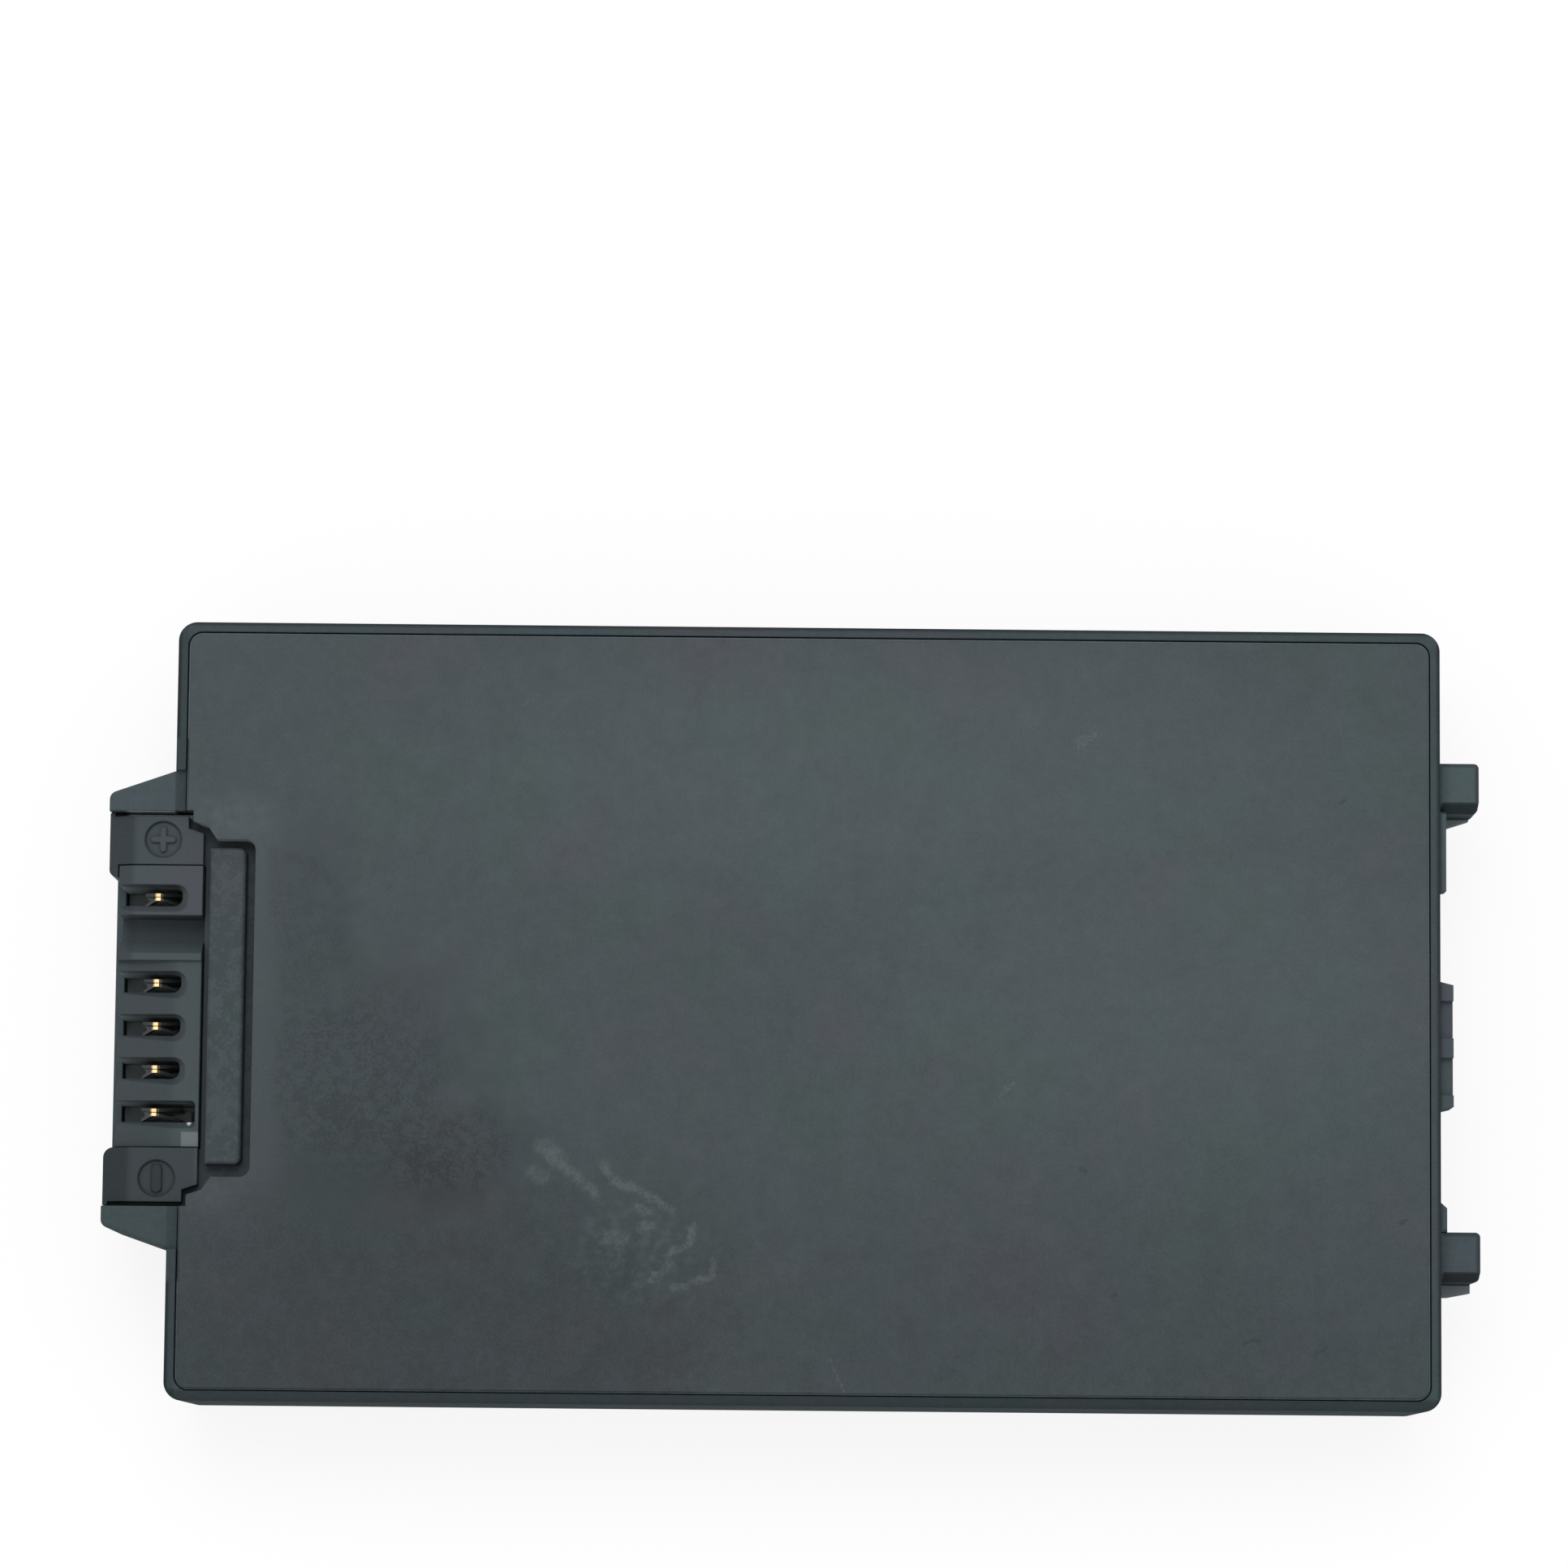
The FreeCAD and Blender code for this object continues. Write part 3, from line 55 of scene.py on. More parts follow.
# %% [markdown]
# ## Camera
# The photograph looks almost straight down on the cover. The case is a little narrower at its far side and
# shows a sliver of its near side, so the camera leans back by a few degrees. A camera could be turned by hand
# until the outlines agree. Here its lean, roll and distance were worked out from the outline of the case, and
# the lens shift moves the picture so that the pack lies below the middle, as it does in the photograph.

# %% Camera
import bpy
from math import cos, radians, sin
from mathutils import Matrix, Vector

PICTURE = 1932
FOCAL_PIXELS = 6600
PACK_MIDDLE = (993.0, 1249.2)
SENSOR_WIDTH = 36.0
LEAN = radians(5.7)
ROLL = radians(0.528)
DISTANCE = 0.3693


def put_in_scene(thing):
    """Show an object in the scene."""
    bpy.context.scene.collection.objects.link(thing)


camera = bpy.data.objects.new("camera", bpy.data.cameras.new("camera"))
put_in_scene(camera)
camera.data.sensor_width = SENSOR_WIDTH
camera.data.lens = FOCAL_PIXELS / PICTURE * SENSOR_WIDTH
camera.data.shift_x = (PICTURE / 2 - PACK_MIDDLE[0]) / PICTURE
camera.data.shift_y = (PACK_MIDDLE[1] - PICTURE / 2) / PICTURE
cover_middle = Vector((0, 0, cad_box[1].z))
camera.location = cover_middle + DISTANCE * Vector((0, -sin(LEAN), cos(LEAN)))
camera.rotation_euler = (Matrix.Rotation(LEAN, 3, "X") @ Matrix.Rotation(ROLL, 3, "Z")).to_euler()
bpy.context.scene.camera = camera
print("camera", [round(value, 4) for value in camera.location], "lens", round(camera.data.lens, 1))

# %% [markdown]
# ## Writing shader nodes as sums
# A finish is a net of nodes, and most of them are plain arithmetic on masks and noise. Wired by hand, a sum
# such as `1 - mask * grain` takes several lines for each node. A small class wraps one socket and answers to
# Python's operators, so the sum can be written as it is read. Every other node comes from one method, `add`,
# which sets the node's settings first and then fills its sockets with numbers or links.

# %% Sockets that take part in sums
class Signal:
    """One shader socket that can stand in a sum."""

    def __init__(self, net, socket):
        self.net = net
        self.socket = socket

    def __add__(self, other):
        return self.net.math("ADD", self, other)

    def __radd__(self, other):
        return self.net.math("ADD", other, self)

    def __sub__(self, other):
        return self.net.math("SUBTRACT", self, other)

    def __rsub__(self, other):
        return self.net.math("SUBTRACT", other, self)

    def __mul__(self, other):
        return self.net.math("MULTIPLY", self, other)

    def __rmul__(self, other):
        return self.net.math("MULTIPLY", other, self)

    def __truediv__(self, other):
        return self.net.math("DIVIDE", self, other)

    def __rtruediv__(self, other):
        return self.net.math("DIVIDE", other, self)


print("reflected operators:", [name for name in vars(Signal) if name.startswith("__r")])

# %% Nets of nodes
class Net:
    """A tree of shader nodes."""

    def __init__(self, owner):
        owner.use_nodes = True
        self.tree = owner.node_tree
        self.tree.nodes.clear()

    def add(self, kind, settings=None, sockets=None, output=0):
        """Add a node, set it up, fill its sockets, and give back one of its outputs."""
        node = self.tree.nodes.new(kind)
        for name, value in (settings or {}).items():
            setattr(node, name, value)
        for name, value in (sockets or {}).items():
            if isinstance(value, Signal):
                self.tree.links.new(value.socket, node.inputs[name])
            else:
                node.inputs[name].default_value = value
        return Signal(self, node.outputs[output]) if node.outputs else node

    def math(self, operation, first, second=0):
        return self.add("ShaderNodeMath", {"operation": operation}, {0: first, 1: second})

    def size(self, value):
        """A value without its sign."""
        return self.math("ABSOLUTE", value)

    def distance(self, x, y):
        """How far a place is from the origin of x and y."""
        return self.math("SQRT", x * x + y * y)

    def clamp(self, value):
        """A value kept between 0 and 1."""
        return self.add("ShaderNodeClamp", None, {"Value": value})

    def ramp(self, value, low, high):
        """0 where the value is at low, 1 where it is at high, with a soft run between them."""
        return self.add("ShaderNodeMapRange", {"interpolation_type": "SMOOTHSTEP"},
                        {"Value": value, "From Min": low, "From Max": high})

    def between(self, value, low, high, soft=0.1):
        """1 between two values, falling softly to 0 outside them."""
        return self.ramp(value, low - soft, low) * self.ramp(value, high + soft, high)

    def strongest(self, masks):
        """The largest of several masks."""
        best = masks[0]
        for mask in masks[1:]:
            best = self.math("MAXIMUM", best, mask)
        return best

    def blend(self, factor, first, second):
        """Mix two colours."""
        return self.add("ShaderNodeMix", {"data_type": "RGBA"}, {0: factor, 6: first, 7: second}, output=2)


print("helpers:", [name for name in vars(Net) if not name.startswith("__")])

# %% [markdown]
# ## Floor, surroundings and light
# The pack lies on a plain white floor. A white floor could simply be lit until it burns out, but that would
# also wash out the dark plastic. So the floor alone shows itself white to the camera and to reflections, with
# part of the real shading kept so that the pack's own shadow stays. In the photograph the slots and grooves
# are grey rather than black, so most of the light comes evenly from all around, from white surroundings. A
# broad soft panel above the far side of the pack, a little towards the contacts, gives it a direction.

# %% Floor and surroundings
WHITE = (1, 1, 1, 1)
FLOOR_WHITE = (0.96, 0.96, 0.96, 1)
FLOOR_REACH = 12.0
FLOOR_GAP = 0.00002
SURROUND_LEVEL = 0.9
SHADOW_KEPT = 0.16


def shows_as_background(net):
    """1 for rays that see the background itself: from the camera, off gloss or through something clear."""
    return net.strongest([net.add("ShaderNodeLightPath", output=name)
                          for name in ("Is Camera Ray", "Is Glossy Ray", "Is Transmission Ray")])


floor = bpy.data.objects.new("floor", bpy.data.meshes.new("floor"))
floor.data.from_pydata([(FLOOR_REACH * side_x, FLOOR_REACH * side_y, 0)
                        for side_x, side_y in ((-1, -1), (1, -1), (1, 1), (-1, 1))], [], [(0, 1, 2, 3)])
floor.location.z = cad_box[0].z - FLOOR_GAP
put_in_scene(floor)
floor.data.materials.append(bpy.data.materials.new("floor_white"))
net = Net(floor.data.materials[0])
lit = net.add("ShaderNodeBsdfDiffuse", None, {"Color": FLOOR_WHITE})
white = net.add("ShaderNodeEmission", None, {"Color": WHITE, "Strength": 1.0})
share = shows_as_background(net) * (1 - SHADOW_KEPT)
surface = net.add("ShaderNodeMixShader", None, {0: share, 1: lit, 2: white})
net.add("ShaderNodeOutputMaterial", None, {"Surface": surface})

world = bpy.data.worlds.new("surroundings")
bpy.context.scene.world = world
net = Net(world)
surface = net.add("ShaderNodeBackground", None, {"Color": WHITE, "Strength": SURROUND_LEVEL})
net.add("ShaderNodeOutputWorld", None, {"Surface": surface})
bpy.context.scene.view_settings.view_transform = "Standard"
print("surroundings", SURROUND_LEVEL, "floor", FLOOR_WHITE[:3])

# %% Soft panel
PANEL_PLACE = Vector((-0.03, 0.26, 0.60))
PANEL_SIZE = 0.32
PANEL_POWER = 1.25

panel = bpy.data.objects.new("soft_panel", bpy.data.lights.new("soft_panel", "AREA"))
panel.data.shape = "SQUARE"
panel.data.size = PANEL_SIZE
panel.data.energy = PANEL_POWER
panel.location = PANEL_PLACE
panel.rotation_euler = (cover_middle - PANEL_PLACE).to_track_quat("-Z", "Y").to_euler()
put_in_scene(panel)
print("panel", PANEL_SIZE, "m wide,", PANEL_POWER, "W")

# %% [markdown]
# ## Moulded plastic
# The case is moulded in a tool whose steel was spark-eroded, which leaves an even matte grain of about a
# fifth of a millimetre. Flat colour would look like paper, and an image would stretch on the walls. Noise in
# the object's own space has one scale on every face, so it makes the grain, a slow change of tint between a
# bluish and a greenish grey, and the small change of gloss. A bevel node rounds the sharp moulded edges a
# little, and a bump node adds the grain on top of that.

# %% Plastic
SLATE = (0.047, 0.060, 0.067, 1)
VIOLET_GREY = (0.052, 0.058, 0.067, 1)
GREEN_GREY = (0.045, 0.0615, 0.064, 1)
# Pale grey painted as light into shaded grooves and hollows, and as a reflection on the lugs' shelves
PAINTED_LIGHT_GREY = (0.36, 0.41, 0.42, 1)
EDGE_ROUND = 0.00012
GRAIN_HEIGHT = 0.00003
# Noise by its lumps per millimetre and its detail
GRAIN = (4.5, 3.0)
FINE = (5.0, 2.0)
MEDIUM = (1.6, 3.0)
COARSE = (0.45, 3.0)


def millimetres(net):
    """The place on the object in millimetres, whole and along each axis."""
    place = net.add("ShaderNodeTexCoord", output="Object")
    whole = net.add("ShaderNodeVectorMath", {"operation": "SCALE"}, {0: place, "Scale": 1000})
    return whole, *[net.add("ShaderNodeSeparateXYZ", None, {0: whole}, output=axis) for axis in "XYZ"]


def new_finish(name):
    """A material with its empty net and the places on the object."""
    finish = bpy.data.materials.new(name)
    net = Net(finish)
    return finish, net, *millimetres(net)


def noise(net, place, per_millimetre, detail, seed):
    """Soft noise between about 0.3 and 0.7."""
    return net.add("ShaderNodeTexNoise", {"noise_dimensions": "4D"},
                   {"Vector": place, "W": seed, "Scale": per_millimetre, "Detail": detail})


def speckled(net, fine):
    """Fine noise spread out to reach from 0 to 1."""
    return net.ramp(fine, 0.35, 0.65)


def plastic_tint(net, place, seed=0.0):
    """Slate grey that drifts to green and violet."""
    drift = net.ramp(noise(net, place, 0.09, 3.0, 1.7 + seed), 0.42, 0.62)
    warm = net.ramp(noise(net, place, 0.12, 3.0, 5.1 + seed), 0.5, 0.68)
    return net.blend(warm * 0.8, net.blend(drift, SLATE, GREEN_GREY), VIOLET_GREY)


def shade(net, tint, factor):
    """Make a colour lighter or darker by a factor that changes over the surface."""
    return net.add("ShaderNodeVectorMath", {"operation": "SCALE"}, {0: tint, "Scale": factor})


def grain_normal(net, place, strength=0.25):
    """Edge rounding with the moulded grain on it."""
    rounded = net.add("ShaderNodeBevel", {"samples": 4}, {"Radius": EDGE_ROUND})
    return net.add("ShaderNodeBump", None, {
        "Strength": strength, "Distance": GRAIN_HEIGHT, "Height": noise(net, place, *GRAIN, 2.3),
        "Normal": rounded})


def close(net, sockets):
    """End a finish in one surface."""
    surface = net.add("ShaderNodeBsdfPrincipled", None, sockets)
    net.add("ShaderNodeOutputMaterial", None, {"Surface": surface})


def close_plastic(net, colour, roughness, normal, sheen, bending=1.5):
    """End a plastic finish, with the strength of its sheen and how far it bends light."""
    close(net, {"Base Color": colour, "Roughness": roughness, "Normal": normal,
                "Specular IOR Level": sheen, "IOR": bending})


def dress(finish, *nodes):
    """Put a finish on CAD nodes."""
    for name in nodes:
        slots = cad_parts[name].data.materials
        if not slots:
            slots.append(finish)
        for index in range(len(slots)):
            slots[index] = finish
    print(finish.name, "on", ", ".join(nodes))


print("grain", round(1 / GRAIN[0], 2), "mm, edges rounded by", round(EDGE_ROUND * 1000, 2), "mm")

# %% [markdown]
# ## Wear, light and shade of the base
# The base is gripped by hand and pushed into its bay again and again. Its walls, the near side and outer
# edges of its rim, and the lugs' bevels, edges, roots and lower walls are darkened as painted shade, and the
# rim is darker towards the left end. The far flank of the nose and the lugs are rubbed pale. The sill is
# lightened as painted light, pale grey is painted as light into the groove beside the far pad and behind the
# sill, and a pale painted reflection lies on the lugs' shelves. A painted mask would need the surface
# unfolded. Each of these places is simple along the pack's own axes, so its mask is a product of soft steps
# along x, y and z.

# %% Rim and walls of the base
RIM_FOOT = 12.3
RIM_TOP = 12.55

base_finish, net, place, x, y, z = new_finish("case_base_plastic")
speckle = speckled(net, noise(net, place, *FINE, 8.2))
mottle = noise(net, place, *MEDIUM, 3.3)
from_middle_x = net.size(x)
from_middle_y = net.size(y)
on_case = net.ramp(from_middle_x, 43.88, 43.82)
on_rim = on_case * net.ramp(z, RIM_FOOT, RIM_TOP)
beside_nose = net.ramp(x, 0, -1) * net.ramp(from_middle_y, 19.0, 18.6)
near_side = net.ramp(y, -26.0, -26.4)
left_side = net.ramp(x, -42.9, -43.2)
end_edge = net.ramp(from_middle_x, 43.4, 43.7) * (1 - beside_nose)
outer_edge = net.strongest([net.ramp(y, 26.6, 26.9), end_edge])
# The walls below the rim are darkened as painted shade.
wall = net.ramp(z, RIM_TOP, RIM_FOOT) * on_case
level = 1.02 + speckle * 0.1 + (mottle - 0.5) * 0.3 - wall * 0.3
# The rim's near side and outer edges are darkened as painted shade, and the rim is darker towards the left
# end.
for darkened_band, strength in ((near_side, 0.4), (outer_edge, 0.5), (left_side, 0.2)):
    level = level * (1 - on_rim * darkened_band * strength)
print("rim from", RIM_FOOT, "to", RIM_TOP, "mm")

# %% Nose and lugs of the base
LUG_LINES = (16.3, -16.3)


def beside_lugs(low, high, soft=0.1):
    """1 between two distances from the middle line of either lug."""
    return net.strongest([net.between(y, line + low, line + high, soft) for line in LUG_LINES])


worn_flank = net.ramp(x, -43.7, -43.9) * net.ramp(y, 0, 1)
# The sill is lightened as painted light.
sill_painted_light = net.ramp(x, -46.3, -46.6) * net.ramp(from_middle_y, 9.6, 9.4) * net.ramp(z, 7.4, 7.2)
at_lugs = net.ramp(x, 43.9, 44.1)
# The lugs' lower bevels and their side and end edges are darkened as painted shade.
lug_bevel_shade = beside_lugs(-1.75, -1.1) * net.ramp(z, 10.6, 10.9)
shelf_reflection = beside_lugs(-2.8, -1.85, 0.05) * net.ramp(z, 9.0, 8.8)
# The lugs are rubbed pale, lighter on the far lug and on the ridge between the lugs; their roots and lower
# walls are darkened as painted shade.
lug_root_shade = net.ramp(x, 44.8, 44.0) * net.ramp(from_middle_y, 14.3, 14.6)
lug_wear_and_shade = 0.15 + net.ramp(y, 0, 8) * 0.2 + net.ramp(from_middle_y, 14.6, 14.3) * 0.2 - lug_root_shade * 0.2
lug_wear_and_shade = lug_wear_and_shade * net.ramp(z, 8.0, 11.5) - net.ramp(z, 11.5, 8.0) * 0.2
lug_edge_shade = net.strongest([beside_lugs(1.45, 1.8) * 0.3, net.ramp(x, 46.15, 46.45) * 0.4])
lug_shade = net.strongest([lug_bevel_shade * 0.6, lug_edge_shade * net.ramp(z, 11.6, 11.9)]) * at_lugs
level = (level + worn_flank * 0.2 + at_lugs * lug_wear_and_shade + sill_painted_light * 0.35) * (1 - lug_shade)
colour = shade(net, plastic_tint(net, place), level)

# Pale grey painted as light into the groove beside the far pad and behind the sill, and as a painted
# reflection on the lugs' shelves
groove_painted_light = (net.between(y, 13.5, 14.2) * net.ramp(z, 12.5, 12.2)
             * net.ramp(x, -47.5, -46.8) * net.ramp(x, -43.8, -44.0))
behind_sill = (net.between(x, -47.3, -46.6) * net.ramp(from_middle_y, 9.4, 9.2)
               * net.ramp(z, 6.95, 6.8))
painted_light = net.strongest([groove_painted_light, shelf_reflection * at_lugs * 0.4, behind_sill])
colour = net.blend(painted_light, colour, PAINTED_LIGHT_GREY)
close_plastic(net, colour, 0.7 + speckle * 0.08, grain_normal(net, place), 0.1, 1.15)
dress(base_finish, "case_base")

# %% [markdown]
# ## The cover's wear, light and shade
# The cover has been handled. Beside the contact notch it is rubbed dark and mottled, chalky smears lie
# towards the near side, and a few specks and scratches are spread over the rest. A pale strip along the notch
# and pale patches at its corners are painted highlights, broad patches paint a sheen towards the far side and
# shade towards the near side and lower left, and the groove round the cover is lightened as painted light.
# They could be painted as an image, but simple shapes do: ellipses for patches and thin lines for smears and
# scratches, all broken up by noise so that no edge is clean.

# %% Shapes of the marks
def patch(net, x, y, middle, half):
    """1 in the middle of an ellipse, falling softly to 0 at its edge."""
    reach = net.distance((x - middle[0]) / half[0], (y - middle[1]) / half[1])
    return net.ramp(reach, 1.0, 0.25)


def stroke(net, x, y, start, end, width):
    """1 along a straight line, falling softly to 0 at its width."""
    run = Vector(end) - Vector(start)
    from_x = x - start[0]
    from_y = y - start[1]
    along = net.clamp((from_x * run.x + from_y * run.y) / run.length_squared)
    reach = net.distance(from_x - along * run.x, from_y - along * run.y)
    return net.ramp(reach, width, width * 0.2)


def strokes(net, x, y, lines):
    """The strongest of several strokes."""
    return net.strongest([stroke(net, x, y, *line) for line in lines])


# Chalky smears on the cover: start, end and width in millimetres
SMEARS = [
    ((-18.0, -9.4), (-16.9, -10.2), 1.0),
    ((-18.7, -11.1), (-18.0, -11.4), 0.8),
    ((-17.0, -10.3), (-14.4, -12.5), 0.6),
    ((-13.8, -10.5), (-13.2, -11.5), 0.5),
    ((-13.2, -11.5), (-10.3, -12.9), 0.55),
    ((-10.2, -13.0), (-9.1, -13.7), 0.4),
    ((-11.5, -13.6), (-10.6, -13.7), 0.5),
    ((-11.2, -14.8), (-10.4, -14.8), 0.5),
    ((-13.3, -15.4), (-12.5, -15.5), 0.7),
    ((-7.6, -14.7), (-7.8, -16.0), 0.4),
    ((-8.0, -16.0), (-9.2, -16.5), 0.4),
    ((-9.2, -17.2), (-10.4, -18.5), 0.5),
    ((-6.3, -17.2), (-6.3, -18.0), 0.4),
    ((-6.3, -18.1), (-8.9, -19.0), 0.4),
]
# Dark rubbed lines beside the notch
RUBBED_LINES = [
    ((-36.9, 10.9), (-36.6, 6.0), 0.7),
    ((-36.4, 10.7), (-34.2, 10.2), 0.6),
    ((-34.2, 10.2), (-32.3, 8.3), 0.6),
]
# Fine pale scratches
SCRATCHES = [
    ((13.4, -5.5), (14.5, -4.6), 0.22),
    ((18.6, 18.9), (20.0, 19.7), 0.6),
    ((1.8, -23.8), (2.9, -26.0), 0.18),
]
# Dark specks and nicks
NICKS = [
    ((19.1, -10.55), (19.2, -10.6), 0.28),
    ((36.95, 15.0), (37.2, 15.2), 0.25),
    ((21.2, -19.3), (21.5, -19.1), 0.2),
    ((30.2, -22.5), (31.2, -22.1), 0.2),
    ((35.2, -23.2), (35.8, -22.6), 0.22),
    ((41.0, -14.1), (41.5, -13.9), 0.2),
]
print("smears", len(SMEARS), "scratches", len(SCRATCHES), "nicks", len(NICKS))

# %% Tone of the cover
# Broad patches on the cover: middle, half size and strength
RUBBED = [((-31.0, -4.5), (12.0, 12.0), 1), ((-34.5, 5.0), (5.0, 10.0), 0.75), ((-25.0, -9.5), (9.0, 6.0), 1)]
# Painted sheen, lighter towards the far side and the right
PAINTED_SHEEN_PATCHES = [((8.0, 16.5), (46.0, 13.0), 1), ((26.0, 3.0), (32.0, 17.0), 0.9)]
# Painted shade, darker towards the near side and the lower left
PAINTED_SHADE_PATCHES = [((-12.0, -24.5), (9.0, 5.0), 1), ((-28.0, -22.0), (40.0, 18.0), 1), ((10.0, -28.0), (70.0, 20.0), 0.5)]

cover_finish, net, place, x, y, z = new_finish("case_cover_plastic")
fine = noise(net, place, *FINE, 8.2)
medium = noise(net, place, *MEDIUM, 3.3)
coarse = noise(net, place, *COARSE, 6.4)
wander_x = x + (coarse - 0.5) * 5 + (medium - 0.5) * 1.5
wander_y = y + (noise(net, place, *COARSE, 9.9) - 0.5) * 5


def patches(places):
    """The strongest of several patches with wandering edges."""
    return net.strongest([patch(net, wander_x, wander_y, middle, half) * strength
                          for middle, half, strength in places])


rubbed = patches(RUBBED)
painted_sheen = patches(PAINTED_SHEEN_PATCHES)
painted_shade = patches(PAINTED_SHADE_PATCHES)
specks = net.ramp(fine * 0.55 + medium * 0.45, 0.42, 0.58)
speckle = speckled(net, fine)
cloud = (medium - 0.5) * 0.3 + (coarse - 0.5) * 0.25
beside_nose = net.ramp(x, -42.0, -42.3) * net.ramp(net.size(y), 19.0, 18.6)
groove_painted_light = net.ramp(z, 12.93, 12.85) * (1 - beside_nose)
# The cover's tone takes a painted sheen towards the far side and painted shade towards the near side.
level = 0.9 + speckle * 0.13 + cloud + painted_sheen * 0.18 - rubbed * (0.05 + 0.34 * specks) - painted_shade * 0.33
# The groove round the cover is lightened as painted light.
level = level * (1 + groove_painted_light * 1.8)
colour = shade(net, plastic_tint(net, place), level)
print("patches", len(RUBBED), "rubbed,", len(PAINTED_SHEEN_PATCHES), "handled,", len(PAINTED_SHADE_PATCHES), "painted_shade")

# %% Marks on the cover
# Pale chalk of the smears, also used for painted highlights along the notch
CHALK_AND_HIGHLIGHT = (0.19, 0.21, 0.215, 1)
NICK_DARK = (0.02, 0.026, 0.03, 1)

wobble_x = x + (medium - 0.5) * 0.9
wobble_y = y + (noise(net, place, *MEDIUM, 7.7) - 0.5) * 0.9
haze = patch(net, wobble_x, wobble_y, (-11.5, -16.5), (6.0, 5.0)) * net.ramp(medium, 0.45, 0.68)
# A pale strip along the notch and pale patches at its corners are painted highlights.
notch_strip_highlight = net.ramp(wobble_x, -35.6, -37.2) * net.ramp(y, -13.5, -10.5) * net.ramp(y, 16.5, 12.5)
notch_corner_highlight = net.strongest([
    patch(net, wobble_x, wobble_y, (-39.5, 13.6), (3.6, 2.0)),
    patch(net, wobble_x, wobble_y, (-41.0, -12.9), (2.6, 1.7)),
])
smears, scratches, nicks, rubbed_lines = [
    strokes(net, wobble_x, wobble_y, lines) for lines in (SMEARS, SCRATCHES, NICKS, RUBBED_LINES)]
# The smears, haze and scratches are chalky marks; the notch strip and corners mixed in here are painted
# highlights.
chalk_and_highlight = smears * (0.06 + net.ramp(fine + medium, 0.75, 1.2) * 0.14) + haze * 0.08
chalk_and_highlight = chalk_and_highlight + notch_strip_highlight * medium * 0.09 + notch_corner_highlight * medium * 0.1
chalk_and_highlight = net.clamp(chalk_and_highlight + scratches * speckle * 0.16)
colour = net.blend(chalk_and_highlight, colour, CHALK_AND_HIGHLIGHT)
colour = net.blend(nicks * 0.5 + rubbed_lines * (0.1 + specks * 0.2), colour, NICK_DARK)
gloss = 0.5 + speckle * 0.06 + rubbed * 0.05 + chalk_and_highlight * 0.3
close_plastic(net, colour, gloss, grain_normal(net, place), 0.2)
dress(cover_finish, "case_cover")

# %% [markdown]
# ## Contact frame and connector housing
# The frame round the contacts is moulded in the same grey but is rubbed by every insertion, most of all on
# its cross bar. The connector housing inside it is smoother and darker. Both get the plastic finish again,
# with their own wear: pale rubbing on the bar and a pale worn patch beside the last slot. Both are darker
# towards the front, on the front slopes and the front half of the housing, and the frame is darker on its
# near side. Painted shade rings the dimples of the signs, and a small painted glint sits at the end of the
# last slot.
# Pale grey is painted as light deep in the slots and in the groove, so they are dark but not black.

# %% Frame finish
DIMPLE_X = -44.65
DIMPLE_RADIUS = 1.25
SIGN_LINES = (11.83, -11.7)
RING_WIDTH = 0.16

frame_finish, net, place, x, y, z = new_finish("contact_frame_plastic")
fine = noise(net, place, *FINE, 4.2)
medium = noise(net, place, 1.3, 3.0, 2.9)
speckle = speckled(net, fine)
on_bar = net.ramp(x, -41.6, -41.2)
rub = net.ramp(medium + (fine - 0.5) * 0.5, 0.42, 0.62)
# Darker towards the front and on the near side.
darker_front = net.ramp(x, -46.2, -46.9)
darker_near_side = net.ramp(y, -8, -9) * net.ramp(x, -41.9, -42.2)
from_dimple_x = x - DIMPLE_X
# Painted shade round the rims of the sign dimples.
ring_shade = net.strongest([
    net.ramp(net.size(net.distance(from_dimple_x, y - line) - DIMPLE_RADIUS), RING_WIDTH, 0)
    for line in SIGN_LINES])
in_minus = (net.ramp(net.size(y - SIGN_LINES[1]), 1.02, 0.9)
            * net.ramp(net.size(from_dimple_x), 0.42, 0.36))
level = 0.9 + speckle * 0.08 + on_bar * (rub * 0.22 - 0.12) - darker_front * 0.32
level = (level - ring_shade * 0.4 - in_minus * 0.35) * (1 - darker_near_side * 0.25)
colour = shade(net, plastic_tint(net, place, 3.0), level)
# Pale grey painted as light in the groove beside the far pad.
groove_painted_light = net.ramp(z, 12.0, 11.6) * net.ramp(y, 13.3, 13.5) * net.ramp(x, -47.5, -46.8)
colour = net.blend(groove_painted_light, colour, PAINTED_LIGHT_GREY)
close_plastic(net, colour, 0.5 + speckle * 0.06, grain_normal(net, place), 0.15)
dress(frame_finish, "contact_frame")

# %% Housing finish
# Pale greys painted as light deep in the slots, lighter towards their rear ends
SLOT_PAINTED_LIGHT = (0.12, 0.142, 0.148, 1)
SLOT_END_PAINTED_LIGHT = (0.26, 0.29, 0.30, 1)
WORN_PLASTIC = (0.14, 0.165, 0.17, 1)
GLINT = (0.8, 0.8, 0.78, 1)
KEY_LINE = 5.65

housing_finish, net, place, x, y, z = new_finish("connector_housing_plastic")
speckle = speckled(net, noise(net, place, *FINE, 4.2))
in_field = net.ramp(y, 3.5, 3.3)
# Darker towards the front.
darker_front = net.ramp(x, -43.0, -44.3) * in_field + net.ramp(x, -46.4, -47.0) * (1 - in_field)
level = 0.92 + speckle * 0.08 - darker_front * 0.2
colour = shade(net, plastic_tint(net, place, 6.0), level)
in_key = net.ramp(net.size(y - KEY_LINE), 1.1, 0.95)
